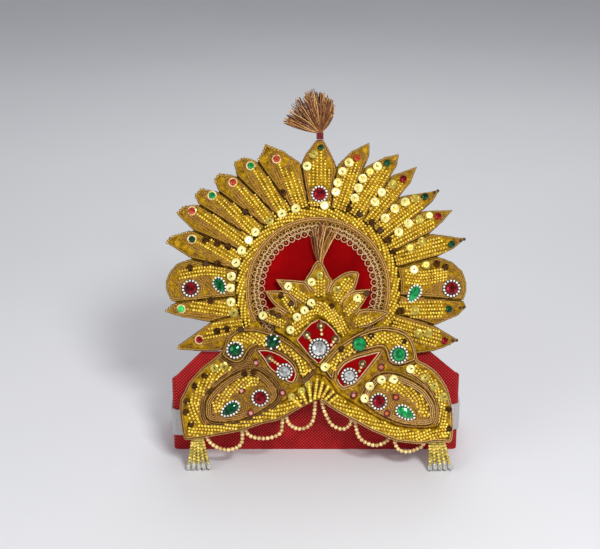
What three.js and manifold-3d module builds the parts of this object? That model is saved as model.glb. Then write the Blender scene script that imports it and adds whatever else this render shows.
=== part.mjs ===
// Mukut crown: a leaning zardozi halo, crest and wings against a red cloth base band.
// Millimetres, +Z up, front towards -Y. Crown pieces are drawn in the crown plane, where
// u runs right, v runs up the plane and w runs out of it, and are then leaned back.
import * as THREE from 'three';
import { mergeVertices } from 'three/addons/utils/BufferGeometryUtils.js';
import Module from 'manifold-3d';

const wasm = await Module();
wasm.setup();

// Lean of the crown plane and the gap kept between pieces.
const LEAN = THREE.MathUtils.degToRad(22);
const CROWN_LIFT = 1.5;
const GAP = 0.3;

// Heights of the layers along w.
const BOARD_TOP = 3;
const PAD_RISE = 3.6;
const PAD_BASE = BOARD_TOP + GAP;
const PAD_TOP = PAD_BASE + PAD_RISE;
const VELVET_RISE = 1.3;
const LACE_BASE = PAD_BASE + VELVET_RISE + GAP;
const LACE_RISE = 1.5;
const RING_RISE = 5;
const CREST_BASE = PAD_BASE + RING_RISE + GAP;
const CREST_BOARD = 2;
const CREST_LEAF = 2;
const CREST_TOP = CREST_BASE + CREST_BOARD + GAP;
const ARCH_RISE = 2.7;
const WING_BASE = CREST_TOP;
const WING_BOARD = 2.5;
const WING_RIM = 2.8;
const WING_TOP = WING_BASE + WING_BOARD + GAP;
const WING_PAD = 3;
const STRING_RADIUS = 1.5;
const HANG_W = WING_BASE - GAP - STRING_RADIUS;

// Halo ring.
const RING_V = 141;
const LACE_INNER = 42.4;
const LACE_WAVE = 1.1;
const LACE_SCALLOPS = 24;
const LACE_OUTER = 51.9;
const RING_INNER = 52.3;
const RING_OUTER = 63.7;
const RAY_ROOT = 64.2;
const BOARD_INSET = 0.985;

// Base band and strap.
const BASE_WIDTH = 228;
const BASE_MIDDLE = -1.7;
const BASE_HEIGHT = 86;
const BASE_DEPTH = 58;
const BASE_WALL = 2.5;
const BASE_CORNER = 4.5;
const CUT_IN = 24;
const CUT_LEFT = 26;
const CUT_RIGHT = 22;
const SIDE_FRONT = 58;
const SIDE_BACK = 34;
const STRAP_WIDTH = 22.5;
const STRAP_THICK = 1.2;
const STRAP_MIDDLE = 27.3;
const STRAP_RISE = 5;
const STRAP_TAB = 30;

// End tassels.
const STRAND_RADIUS = 1.3;
const DROP_RADIUS = 2.1;
const DROP_LENGTH = 8;
const DROP_CLEAR = 0.3;

// Padded ray: scaled copies of the outline and their heights.
const PAD_LAYERS = [
  { scale: 1, height: 0 },
  { scale: 1, height: 1.5 },
  { scale: 0.93, height: 2.9 },
  { scale: 0.8, height: PAD_RISE },
];

// Halo pieces from lower right round to lower left: first notch, outer corners, and how many
// degrees the seam at that notch turns on its way in to the ring.
const HALO_PIECES = [
  { name: 'ray_right_8', notch: [77, 90.1], corners: [[91, 92.6], [98.4, 95], [110.4, 101.2]] },
  { name: 'ray_right_7', notch: [92, 112.5], corners: [[110, 120.5], [116.2, 127.2]] },
  { name: 'lobe_right', notch: [114.1, 132.2],
    corners: [[116.2, 138.8], [116.2, 147], [113.3, 155.2], [105, 162.6]] },
  { name: 'ray_right_6', notch: [94.7, 166.7], corners: [[106, 172.5], [116.2, 180.8]] },
  { name: 'ray_right_5', notch: [88.5, 184.9], corners: [[98, 194], [105.9, 203.2]] },
  { name: 'ray_right_4', notch: [81.9, 202.6], corners: [[90, 209.5], [95.5, 218.7]] },
  { name: 'ray_right_3', notch: [64.6, 214.2], corners: [[73, 225], [77.8, 237.3]] },
  { name: 'ray_right_2', notch: [57.6, 230.3], corners: [[62, 238], [63.8, 247.2], [52, 244.5]] },
  { name: 'ray_right_1', notch: [36.6, 236.9], corners: [[40.5, 246], [40.7, 256.3], [26, 249]] },
  { name: 'spade_leaf', notch: [14.7, 238.1],
    corners: [[9.8, 248.3], [4.6, 258], [-1.4, 258], [-9.8, 247]] },
  { name: 'ray_left_1', notch: [-13.3, 240.2], sweep: -1.6,
    corners: [[-27, 249], [-40.9, 254.4], [-44.2, 246.8]] },
  { name: 'ray_left_2', notch: [-48, 241.8], sweep: -8, corners: [[-57.8, 244.3], [-65.7, 240.2]] },
  { name: 'ray_left_3', notch: [-64.4, 230.3], sweep: -7, corners: [[-77.6, 231.5], [-81.4, 226.6]] },
  { name: 'ray_left_4', notch: [-78.5, 217.9], sweep: -5.6, corners: [[-91.3, 220], [-96.6, 214.6]] },
  { name: 'ray_left_5', notch: [-94.1, 207.6], sweep: -3.2, corners: [[-105.3, 205.9], [-111, 200.2]] },
  { name: 'ray_left_6', notch: [-98.7, 187.4], sweep: -1.3, corners: [[-115.2, 182.4], [-119.3, 177.5]] },
  { name: 'lobe_left', notch: [-100.3, 165.1],
    corners: [[-110.6, 161], [-116.4, 154.4], [-119.3, 147], [-119, 140.4], [-115.8, 133]] },
  { name: 'ray_left_7', notch: [-113, 130.5], corners: [[-120, 123.5], [-112, 120.5]] },
  { name: 'ray_left_8', notch: [-85.3, 114.9], corners: [[-109.7, 97], [-109.7, 93.6], [-95, 92.6]] },
];
const HALO_END = [-77, 92.5];

// Crest leaves: the outline of each one, round from its root, over its tip and back.
const CREST_LEAVES = [
  [[3.5, 135], [8, 138.5], [10, 144], [11, 148], [8.6, 152], [6, 157.4], [3.4, 162.4], [1.2, 163.5],
    [-1.6, 162.8], [-4.2, 159.2], [-6.4, 154.6], [-9.2, 150.6], [-10.8, 147.4], [-7.6, 142.5],
    [-4.5, 138.5], [-1.5, 135]],
  [[-4, 134], [-4.5, 139], [-6.8, 143.5], [-10.6, 147.5], [-20, 148.4], [-27, 148.8], [-33, 149],
    [-32, 146.8], [-29.5, 143], [-25.5, 139], [-20, 134.5], [-13, 129.5]],
  [[-16, 128], [-17, 133], [-22.5, 138.6], [-28.5, 140.2], [-36, 140.3], [-41.6, 139.9], [-39, 134.8],
    [-35.4, 130], [-31, 126], [-25, 122], [-20, 121.5]],
  [[-22.5, 114], [-23.5, 122], [-29, 126], [-34, 127], [-40, 125], [-46.2, 121.6], [-44, 117.6],
    [-38, 114.2], [-31, 111.8], [-26, 111.5]],
  [[12.5, 130], [20, 132.5], [26, 137.5], [29.5, 142.5], [31, 147.5], [32.3, 152.6], [31, 154.8],
    [26, 155.4], [20.5, 154], [16, 151.4], [11.6, 148.2], [8.4, 143], [7, 137], [7.6, 133]],
  [[20.5, 121], [26, 121.5], [31, 124.5], [35.5, 130], [39, 136.5], [41, 141.4], [35, 141], [28.5, 140.4],
    [22.5, 137.5], [18, 132], [17.5, 126]],
  [[27, 112.5], [32, 110.8], [38, 111.4], [44, 114.2], [50, 118], [55.2, 121.8], [55.6, 123.3],
    [50.5, 125], [44, 126], [37, 126.2], [31.5, 125], [26.5, 119]],
];
const CREST_FIELD = [
  { u: -34, low: 108, high: 120 },
  { u: -26, low: 104, high: 126 },
  { u: -14, low: 94, high: 136 },
  { u: 0.5, low: 79, high: 144 },
  { u: 15, low: 94, high: 138 },
  { u: 28, low: 105, high: 128 },
  { u: 38, low: 110, high: 118 },
];
const CREST_ARCH = [
  { u: -22, low: 107.5, high: 110 },
  { u: -17, low: 103.5, high: 119.5 },
  { u: -11.5, low: 110, high: 126 },
  { u: -6, low: 116, high: 130.2 },
  { u: 0.8, low: 119, high: 133 },
  { u: 7, low: 116.5, high: 130.4 },
  { u: 12.5, low: 111, high: 126 },
  { u: 18, low: 104, high: 120.2 },
  { u: 25, low: 108.5, high: 110.5 },
];
const CREST_VELVET = [
  { u: -16.5, low: 101, high: 102.2 },
  { u: -11.3, low: 94.5, high: 108.6 },
  { u: -6, low: 88, high: 114.6 },
  { u: 0.6, low: 82.4, high: 117.8 },
  { u: 6.8, low: 89.6, high: 115.1 },
  { u: 12.2, low: 95.6, high: 109.8 },
  { u: 17.2, low: 101, high: 102.6 },
];

// Wings: outline, raised bead rim along the lower and outer edges, and the inner pieces.
const WINGS = [
  {
    side: 'left',
    outline: [
      { u: -0.1, low: 55, high: 79.5 }, { u: -8, low: 51.6, high: 88.4 },
      { u: -17, low: 46.7, high: 96.8 }, { u: -24.5, low: 42.2, high: 102.5 },
      { u: -32.5, low: 38.6, high: 106.6 }, { u: -41, low: 37, high: 110 },
      { u: -49.7, low: 34.2, high: 111.5 }, { u: -57.5, low: 31.5, high: 111.5 },
      { u: -66, low: 29.6, high: 109 }, { u: -70.5, low: 28.8, high: 104 },
      { u: -73.5, low: 28.2, high: 95.5 }, { u: -77, low: 27.7, high: 91 },
      { u: -82, low: 26.8, high: 86.8 }, { u: -90.5, low: 25.3, high: 80.2 },
      { u: -100, low: 24, high: 69.4 }, { u: -104, low: 24.8, high: 61.4 },
      { u: -105.8, low: 32.6, high: 58.2 }, { u: -107.3, low: 43.8, high: 54.2 },
    ],
    band: [
      { u: -0.8, low: 56, high: 75.5 }, { u: -6, low: 53.5, high: 73.5 },
      { u: -11, low: 51, high: 67.5 }, { u: -18, low: 47, high: 60.5 },
      { u: -24, low: 43.5, high: 56 }, { u: -32, low: 39.7, high: 51 },
      { u: -41, low: 38, high: 46 }, { u: -50, low: 35.1, high: 41.8 },
      { u: -60, low: 31.6, high: 38.2 }, { u: -71, low: 29.6, high: 36.6 },
      { u: -87, low: 26.7, high: 36 }, { u: -97, low: 25.2, high: 37 },
      { u: -102, low: 25.2, high: 38 },
    ],
    crescent: [
      { v: 29, from: -104.2, to: -92 }, { v: 37, from: -105.6, to: -90.4 },
      { v: 43.8, from: -106.5, to: -90.2 }, { v: 54.2, from: -106.5, to: -89.8 },
      { v: 61.4, from: -103.3, to: -86.8 }, { v: 69.4, from: -99.3, to: -79 },
      { v: 75, from: -94.3, to: -71.5 }, { v: 80, from: -90, to: -66.8 },
      { v: 83.6, from: -85.2, to: -70.8 }, { v: 87, from: -81, to: -74 },
      { v: 89.4, from: -78.2, to: -76.4 },
    ],
    lobe: [
      { u: -2.4, low: 79.3, high: 80.6 }, { u: -8, low: 75.6, high: 87.3 },
      { u: -11.5, low: 71.8, high: 90.8 }, { u: -13.6, low: 74, high: 92.7 },
      { u: -15.5, low: 82.6, high: 94.5 }, { u: -20, low: 88.2, high: 98.3 },
      { u: -28.5, low: 94, high: 103.6 }, { u: -38, low: 97, high: 107.9 },
      { u: -48, low: 97.2, high: 110.6 }, { u: -53, low: 94, high: 110.9 },
      { u: -58, low: 85.8, high: 110.7 }, { u: -64, low: 83.9, high: 108.9 },
      { u: -69, low: 85.6, high: 104.6 }, { u: -72, low: 87.6, high: 97 },
      { u: -74.4, low: 90, high: 92 },
    ],
    velvet: [
      { u: -47.4, low: 93, high: 94 }, { u: -42.4, low: 86.8, high: 94.6 },
      { u: -38.3, low: 80.2, high: 94.2 }, { u: -32.5, low: 75.2, high: 92.2 },
      { u: -25.9, low: 70.3, high: 88.6 }, { u: -20, low: 68.2, high: 83.6 },
      { u: -16.8, low: 72.8, high: 77.7 },
    ],
    paisley: [
      { u: -31.3, low: 57.5, high: 61.5 }, { u: -34, low: 53.6, high: 67.5 },
      { u: -40, low: 49.4, high: 74 }, { u: -46, low: 45.6, high: 78 },
      { u: -52, low: 42.4, high: 79.6 }, { u: -60, low: 39.6, high: 78 },
      { u: -70, low: 38, high: 72.6 }, { u: -78, low: 37.8, high: 66.4 },
      { u: -84, low: 39, high: 59.6 }, { u: -87.6, low: 43, high: 53 },
    ],
  },
  {
    side: 'right',
    outline: [
      { u: 0.5, low: 55.2, high: 80.4 }, { u: 3.5, low: 53.5, high: 84.3 },
      { u: 11.8, low: 47.5, high: 93.4 }, { u: 20, low: 42.7, high: 100 },
      { u: 31, low: 36.8, high: 106.6 }, { u: 41.5, low: 31.1, high: 110.7 },
      { u: 50, low: 27.5, high: 112.4 }, { u: 59.7, low: 23.2, high: 111.5 },
      { u: 68, low: 21.8, high: 108.3 }, { u: 73.7, low: 21.1, high: 101.7 },
      { u: 76.2, low: 20.8, high: 93.4 }, { u: 77.5, low: 20.7, high: 86.6 },
      { u: 82, low: 20.9, high: 84.2 }, { u: 90, low: 22.5, high: 79 },
      { u: 96.2, low: 22.5, high: 71.8 }, { u: 101, low: 21.8, high: 63 },
      { u: 103.6, low: 22.8, high: 52 }, { u: 104.8, low: 29, high: 40.6 },
    ],
    band: [
      { u: 1.2, low: 56, high: 75.5 }, { u: 6, low: 52.8, high: 73.5 },
      { u: 10.5, low: 49.8, high: 67.5 }, { u: 15, low: 46.9, high: 60.5 },
      { u: 22, low: 42.6, high: 56 }, { u: 32, low: 37.3, high: 50 },
      { u: 41.5, low: 32.2, high: 44 }, { u: 50, low: 28.6, high: 39.4 },
      { u: 59.7, low: 24.4, high: 35.6 }, { u: 68, low: 22.8, high: 34 },
      { u: 80, low: 21.8, high: 33.2 }, { u: 90, low: 23.4, high: 33.6 },
      { u: 100, low: 22.9, high: 36 },
    ],
    crescent: [
      { v: 26, from: 92, to: 103.2 }, { v: 33, from: 92.4, to: 104 },
      { v: 41, from: 94, to: 103.9 }, { v: 52, from: 93.6, to: 102.8 },
      { v: 60, from: 90.6, to: 101 }, { v: 66, from: 86.2, to: 98.6 },
      { v: 71.8, from: 77.4, to: 95.4 }, { v: 76, from: 68.6, to: 91.8 },
      { v: 79, from: 67.2, to: 89 }, { v: 82, from: 73, to: 84 },
      { v: 84, from: 76, to: 81 },
    ],
    lobe: [
      { u: 4, low: 80.4, high: 83.7 }, { u: 8.5, low: 73, high: 88.6 },
      { u: 12, low: 72, high: 92.5 }, { u: 14, low: 81, high: 94.3 },
      { u: 18.5, low: 86.6, high: 97.8 }, { u: 26, low: 91.2, high: 102.6 },
      { u: 36.5, low: 93.6, high: 107.8 }, { u: 47, low: 96, high: 110.9 },
      { u: 51.5, low: 94.5, high: 111.3 }, { u: 55, low: 84.6, high: 111 },
      { u: 62, low: 81.8, high: 109.6 }, { u: 69, low: 83.4, high: 106.2 },
      { u: 73, low: 85, high: 101 }, { u: 75.6, low: 86.6, high: 92.8 },
    ],
    velvet: [
      { u: 48.5, low: 92, high: 93.2 }, { u: 44, low: 86, high: 92.6 },
      { u: 38.2, low: 78.5, high: 91 }, { u: 30, low: 68.6, high: 88.8 },
      { u: 24, low: 65.6, high: 86.2 }, { u: 19.2, low: 64.5, high: 83 },
      { u: 14.6, low: 69.6, high: 76.6 },
    ],
    paisley: [
      { u: 34.6, low: 54.5, high: 59.5 }, { u: 38, low: 51, high: 66 },
      { u: 44, low: 46.3, high: 73.2 }, { u: 51, low: 42, high: 76 },
      { u: 60, low: 38.2, high: 75.6 }, { u: 68, low: 36, high: 72.6 },
      { u: 76, low: 35.2, high: 68.6 }, { u: 84, low: 35.3, high: 62.6 },
      { u: 89, low: 37, high: 55 }, { u: 91.2, low: 41, high: 49.6 },
    ],
  },
];

// Main stones: place, half length and half width of the cut stone, turn, border and seat.
const ON_HALO = PAD_TOP + GAP;
const ON_WING = WING_TOP + WING_PAD + GAP;
const ON_VELVET = WING_TOP + VELVET_RISE + GAP;
const STONES = [
  { name: 'top_ruby', at: [1.2, 215.3], half: [4.9, 4.9], turn: 0, border: 1.4,
    seat: ON_HALO, hue: 'ruby' },
  { name: 'crest_crystal', at: [0.8, 95.1], half: [5.6, 5.6], turn: 0, border: 2.7,
    seat: CREST_TOP + VELVET_RISE + GAP, hue: 'crystal' },
  { name: 'lobe_left_ruby', at: [-99.3, 141.7], half: [4.6, 4.6], turn: 0, border: 2.4,
    seat: ON_HALO, hue: 'ruby' },
  { name: 'lobe_left_drop', at: [-76.5, 144], half: [5.8, 4.2], turn: -60, border: 1.2,
    seat: ON_HALO, hue: 'emerald' },
  { name: 'lobe_right_ruby', at: [104.2, 141.7], half: [4.6, 4.6], turn: 0, border: 2.4,
    seat: ON_HALO, hue: 'ruby' },
  { name: 'lobe_right_drop', at: [75, 137.5], half: [6.2, 4.2], turn: -120, border: 1.2,
    seat: ON_HALO, hue: 'emerald' },
  { name: 'wing_left_outer_emerald', at: [-64.3, 94.2], half: [4.6, 4.6], turn: 0, border: 2.4,
    seat: ON_WING, hue: 'emerald' },
  { name: 'wing_left_inner_emerald', at: [-35.2, 100.6], half: [4.6, 4.6], turn: 0, border: 1.5,
    seat: ON_WING, hue: 'emerald' },
  { name: 'wing_left_crystal', at: [-25.9, 77.3], half: [4.2, 4.2], turn: 0, border: 2.4,
    seat: ON_VELVET, hue: 'crystal' },
  { name: 'wing_left_ruby', at: [-44.9, 57.1], half: [4.6, 4.6], turn: 0, border: 2.2,
    seat: ON_WING, hue: 'ruby' },
  { name: 'wing_left_drop', at: [-68, 48.4], half: [6.6, 4.4], turn: 214, border: 1.9,
    seat: ON_WING, hue: 'emerald' },
  { name: 'wing_right_outer_emerald', at: [62.5, 90.6], half: [4.9, 4.9], turn: 0, border: 2.4,
    seat: ON_WING, hue: 'emerald' },
  { name: 'wing_right_inner_emerald', at: [32, 98.6], half: [5, 5], turn: 0, border: 1.2,
    seat: ON_WING, hue: 'emerald' },
  { name: 'wing_right_crystal', at: [24.2, 73.9], half: [4.2, 4.2], turn: 0, border: 2.4,
    seat: ON_VELVET, hue: 'crystal' },
  { name: 'wing_right_ruby', at: [46.9, 54.4], half: [4.6, 4.6], turn: 0, border: 2.2,
    seat: ON_WING, hue: 'ruby' },
  { name: 'wing_right_drop', at: [67.5, 45.6], half: [6.6, 4.4], turn: -30, border: 1.9,
    seat: ON_WING, hue: 'emerald' },
];
const STONE_SIDES = 10;
const SETTING_RISE = 1.2;
const GIRDLE = 0.6;
const CROWN_RISE = 1.5;
const TABLE_SHARE = 0.6;

// Bead strings: the points that each loop runs through.
const SWAGS = {
  left: [
    [
      [-87, 26.6], [-84.4, 21.6], [-79, 17.4], [-72, 15.2],
      [-65, 16.3], [-60.2, 20], [-59, 26], [-59.4, 33.4],
    ],
    [
      [-56.8, 34], [-55, 28.2], [-50, 25.2], [-42, 24.2],
      [-34, 25.6], [-29, 29], [-28, 35], [-27.6, 43],
    ],
    [
      [-25, 44], [-23.4, 37], [-19, 33], [-14, 31.5],
      [-8.5, 32.8], [-4.4, 37], [-2.8, 44], [-2.2, 56],
    ],
  ],
  right: [
    [
      [2.8, 55], [4.6, 47], [7.6, 40], [11, 34.8],
      [17, 31.8], [22, 32.4], [25.4, 36.4], [26.4, 41.6],
    ],
    [
      [28.8, 40.4], [29.8, 33], [32, 25.8], [37, 21.2],
      [44, 18.8], [50, 20.1], [55, 24], [56.4, 28.6],
    ],
    [
      [58.8, 27.4], [60.4, 20.6], [63, 15.8], [68, 14],
      [73, 14.4], [78, 16.6], [81.4, 18.8], [83, 23.2],
    ],
  ],
};

// End tassels: first and last strand at the head and at the tips, and the head's height.
const END_TASSELS = [
  { side: 'left', head: [-97.4, -90.4], tips: [-102, -85], v: 26.4 },
  { side: 'right', head: [87, 97.6], tips: [88, 104.5], v: 23.8 },
];
const STRANDS = 5;

// Thread brushes: where the locks start and where they end.
const BRUSHES = [
  {
    name: 'top_tassel', root: [1.6, 263.8], w: 5, stem: 1.5, girth: 3.1,
    tips: [[-25, 273.5], [-20, 284], [-13, 291.5], [-5, 295.5], [3, 293], [9, 290], [12.5, 282]],
  },
  {
    name: 'crest_tassel', root: [1.2, 165.6], w: 8.4, stem: 1, girth: 2.4,
    tips: [[-5, 187], [0.5, 190], [6, 190.6], [11, 189.6], [15.5, 187.6]],
  },
];
const BRUSH_FLATNESS = 0.55;
const WRAP_LOW = 258.3;
const WRAP_HIGH = 263.4;
const WRAP_RADIUS = 2.5;

// Looks of the pieces.
const LOOKS = {
  gold: { color: '#be8f22', roughness: 0.5, metalness: 0.55 },
  lining: { color: '#8f1420', roughness: 0.9, metalness: 0 },
  velvet: { color: '#8c000a', roughness: 0.95, metalness: 0 },
  copper: { color: '#b98546', roughness: 0.4, metalness: 0.7 },
  base: { color: '#96101a', roughness: 0.85, metalness: 0 },
  elastic: { color: '#d8d4d2', roughness: 0.9, metalness: 0 },
  thread: { color: '#8a5a2e', roughness: 0.6, metalness: 0.1 },
  binding: { color: '#b02a1c', roughness: 0.7, metalness: 0 },
  pearl: { color: '#e0b868', roughness: 0.35, metalness: 0.2 },
  ruby: { color: '#98061c', roughness: 0.1, metalness: 0 },
  emerald: { color: '#04602c', roughness: 0.1, metalness: 0 },
  crystal: { color: '#d4d6d8', roughness: 0.08, metalness: 0 },
};

const crown = new THREE.Group();
crown.name = 'mukut_crown';
const leanBack = new THREE.Matrix4().makeRotationX(Math.PI / 2 - LEAN);
leanBack.setPosition(0, 0, CROWN_LIFT);

function closed(geometry) {
  geometry.deleteAttribute('normal');
  geometry.deleteAttribute('uv');
  return mergeVertices(geometry, 1e-4);
}

function add(name, geometry, look) {
  const shape = closed(geometry);
  shape.computeVertexNormals();
  const mesh = new THREE.Mesh(shape, new THREE.MeshStandardMaterial(LOOKS[look]));
  mesh.name = name;
  crown.add(mesh);
}

function addLeaning(name, geometry, look) {
  add(name, geometry.applyMatrix4(leanBack), look);
}

function toBody(geometry) {
  const shape = closed(geometry);
  const mesh = new wasm.Mesh({
    numProp: 3,
    vertProperties: Float32Array.from(shape.attributes.position.array),
    triVerts: Uint32Array.from(shape.index.array),
  });
  return new wasm.Manifold(mesh);
}

function fromBody(body) {
  const mesh = body.getMesh();
  const geometry = new THREE.BufferGeometry();
  geometry.setAttribute('position', new THREE.BufferAttribute(mesh.vertProperties, 3));
  geometry.setIndex(new THREE.BufferAttribute(mesh.triVerts, 1));
  return geometry;
}

function fuse(geometries) {
  const bodies = geometries.map(toBody);
  return fromBody(bodies.reduce((whole, body) => whole.add(body)));
}

// A closed solid of scaled copies of one outline about its centre, one copy per layer.
function stack(outline, layers, base, centre) {
  const count = outline.length;
  const positions = [];
  for (const { scale, height } of layers) {
    for (const [u, v] of outline) {
      const out = [centre[0] + (u - centre[0]) * scale, centre[1] + (v - centre[1]) * scale];
      positions.push(...out, base + height);
    }
  }
  const top = (layers.length - 1) * count;
  const under = layers.length * count;
  const over = under + 1;
  positions.push(...centre, base + layers[0].height);
  positions.push(...centre, base + layers.at(-1).height);
  const index = [];
  for (let i = 0; i < count; i += 1) {
    const next = (i + 1) % count;
    index.push(under, next, i);
    index.push(over, top + i, top + next);
    for (let low = 0; low < top; low += count) {
      const high = low + count;
      index.push(low + i, low + next, high + next);
      index.push(low + i, high + next, high + i);
    }
  }
  const geometry = new THREE.BufferGeometry();
  geometry.setAttribute('position', new THREE.Float32BufferAttribute(positions, 3));
  geometry.setIndex(index);
  return geometry;
}

function middle(outline) {
  const total = outline.reduce(([a, b], [u, v]) => [a + u, b + v], [0, 0]);
  return [total[0] / outline.length, total[1] / outline.length];
}

function circle(centre, radius, sides) {
  const points = [];
  for (let i = 0; i < sides; i += 1) {
    const angle = (2 * Math.PI * i) / sides;
    points.push([centre[0] + radius * Math.cos(angle), centre[1] + radius * Math.sin(angle)]);
  }
  return points;
}

function shapeOf(outline) {
  return new THREE.Shape(outline.map(([u, v]) => new THREE.Vector2(u, v)));
}

// A flat slab with both faces' edges cut back by `edge`.
function slab(outline, base, rise, edge = 0) {
  const geometry = new THREE.ExtrudeGeometry(shapeOf(outline), {
    depth: rise - 2 * edge,
    bevelEnabled: edge > 0,
    bevelThickness: edge,
    bevelSize: edge,
    bevelOffset: -edge,
    bevelSegments: 1,
  });
  return geometry.translate(0, 0, base + edge);
}

// Outlines from rows: low and high edges along u, or left and right edges along v.
function alongRows(rows) {
  const ordered = [...rows].sort((a, b) => a.u - b.u);
  const lower = ordered.map(({ u, low }) => [u, low]);
  const upper = ordered.map(({ u, high }) => [u, high]).reverse();
  return [...lower, ...upper];
}

function acrossRows(rows) {
  const ordered = [...rows].sort((a, b) => a.v - b.v);
  const right = ordered.map(({ v, to }) => [to, v]);
  const left = ordered.map(({ v, from }) => [from, v]).reverse();
  return [...right, ...left];
}

// A point on the way from the ring's centre to a notch, moved sideways by half a gap.
function besideNotch(notch, radius, side) {
  const reach = Math.hypot(notch[0], notch[1] - RING_V);
  const along = [notch[0] / reach, (notch[1] - RING_V) / reach];
  const shift = side * GAP;
  return [along[0] * radius - along[1] * shift, RING_V + along[1] * radius + along[0] * shift];
}

function notchRadius(notch) {
  return Math.hypot(notch[0], notch[1] - RING_V);
}

// A notch turned about the ring's centre by the sweep of its seam.
function swept({ notch, sweep = 0 }) {
  const turn = THREE.MathUtils.degToRad(sweep);
  const rise = notch[1] - RING_V;
  return [
    notch[0] * Math.cos(turn) - rise * Math.sin(turn),
    RING_V + notch[0] * Math.sin(turn) + rise * Math.cos(turn),
  ];
}

function addHalo() {
  const seams = [...HALO_PIECES, { notch: HALO_END }];
  HALO_PIECES.forEach(({ name, notch, corners }, i) => {
    const far = seams[i + 1].notch;
    const nearRoot = swept(seams[i]);
    const farRoot = swept(seams[i + 1]);
    const root = [(nearRoot[0] + farRoot[0]) / 2, (nearRoot[1] + farRoot[1]) / 2];
    const outline = [
      besideNotch(nearRoot, RAY_ROOT, 1),
      besideNotch(notch, notchRadius(notch), 1),
      ...corners,
      besideNotch(far, notchRadius(far), -1),
      besideNotch(farRoot, RAY_ROOT, -1),
      besideNotch(root, RAY_ROOT, 0),
    ];
    addLeaning(name, stack(outline, PAD_LAYERS, PAD_BASE, middle(outline)), 'gold');
  });

  const rim = HALO_PIECES.flatMap(({ notch, corners }) => [notch, ...corners]);
  const startAngle = Math.atan2(HALO_END[1] - RING_V, HALO_END[0]) + 2 * Math.PI;
  const endAngle = Math.atan2(HALO_PIECES[0].notch[1] - RING_V, HALO_PIECES[0].notch[0]) + 2 * Math.PI;
  const arcSteps = 14;
  const arc = [];
  for (let i = 0; i <= arcSteps; i += 1) {
    const angle = startAngle + ((endAngle - startAngle) * i) / arcSteps;
    arc.push([RING_OUTER * Math.cos(angle), RING_V + RING_OUTER * Math.sin(angle)]);
  }
  const whole = [...rim, HALO_END, ...arc];
  const board = whole.map(([u, v]) => [u * BOARD_INSET, RING_V + (v - RING_V) * BOARD_INSET]);
  const flat = [{ scale: 1, height: 0 }, { scale: 1, height: BOARD_TOP }];
  addLeaning('halo_board', stack(board, flat, 0, [0, RING_V]), 'lining');
}

function addRing() {
  const disc = [{ scale: 1, height: 0 }, { scale: 1, height: VELVET_RISE }];
  const discEdge = circle([0, RING_V], LACE_OUTER, 40);
  addLeaning('velvet_disc', stack(discEdge, disc, PAD_BASE, [0, RING_V]), 'velvet');

  const lace = shapeOf(circle([0, RING_V], LACE_OUTER, 48));
  const scallops = [];
  const steps = LACE_SCALLOPS * 4;
  for (let i = 0; i < steps; i += 1) {
    const angle = (2 * Math.PI * i) / steps;
    const radius = LACE_INNER + LACE_WAVE * Math.cos((Math.PI / 2) * i);
    scallops.push(new THREE.Vector2(radius * Math.cos(angle), RING_V + radius * Math.sin(angle)));
  }
  lace.holes.push(new THREE.Path(scallops));
  const laceBody = new THREE.ExtrudeGeometry(lace, { depth: LACE_RISE, bevelEnabled: false });
  addLeaning('lace_trim', laceBody.translate(0, 0, LACE_BASE), 'copper');

  // Cross-section of the ring: a low cord band inside and a domed bead band outside.
  const section = [
    { radius: RING_INNER, height: 0 }, { radius: RING_OUTER, height: 0 },
    { radius: RING_OUTER, height: 3 }, { radius: 62.4, height: 4.6 },
    { radius: 60, height: RING_RISE }, { radius: 57.4, height: 4.4 },
    { radius: 56.4, height: 3.2 }, { radius: 54.4, height: 4 },
    { radius: RING_INNER, height: 3 }, { radius: RING_INNER, height: 0 },
  ];
  const profile = section.map(({ radius, height }) => new THREE.Vector2(radius, height));
  const ring = new THREE.LatheGeometry(profile, 48);
  ring.rotateX(Math.PI / 2).translate(0, RING_V, PAD_BASE);
  addLeaning('halo_ring', ring, 'gold');
}

function addCrest() {
  const field = slab(alongRows(CREST_FIELD), CREST_BASE, CREST_BOARD);
  const rise = CREST_BOARD + CREST_LEAF;
  const layers = [
    { scale: 1, height: 0 }, { scale: 1, height: CREST_BOARD + 0.6 },
    { scale: 0.85, height: rise - 0.3 }, { scale: 0.6, height: rise },
  ];
  const leaves = CREST_LEAVES.map((outline) => stack(outline, layers, CREST_BASE, middle(outline)));
  addLeaning('crest_board', fuse([field, ...leaves]), 'gold');
  addLeaning('crest_arch', slab(alongRows(CREST_ARCH), CREST_TOP, ARCH_RISE, 0.7), 'gold');
  addLeaning('crest_velvet', slab(alongRows(CREST_VELVET), CREST_TOP, VELVET_RISE), 'velvet');
}

function addWings() {
  for (const { side, outline, band, crescent, lobe, velvet, paisley } of WINGS) {
    const rimBase = WING_BASE + 1;
    const rimRise = WING_BOARD + WING_RIM - 1;
    const board = fuse([
      slab(alongRows(outline), WING_BASE, WING_BOARD),
      slab(alongRows(band), rimBase, rimRise, 0.8),
      slab(acrossRows(crescent), rimBase, rimRise, 0.8),
    ]);
    addLeaning(`wing_${side}_board`, board, 'gold');
    addLeaning(`wing_${side}_lobe`, slab(alongRows(lobe), WING_TOP, WING_PAD, 0.6), 'gold');
    addLeaning(`wing_${side}_velvet`, slab(alongRows(velvet), WING_TOP, VELVET_RISE), 'velvet');
    addLeaning(`wing_${side}_paisley`, slab(alongRows(paisley), WING_TOP, WING_PAD, 0.8), 'gold');
  }
}

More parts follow.
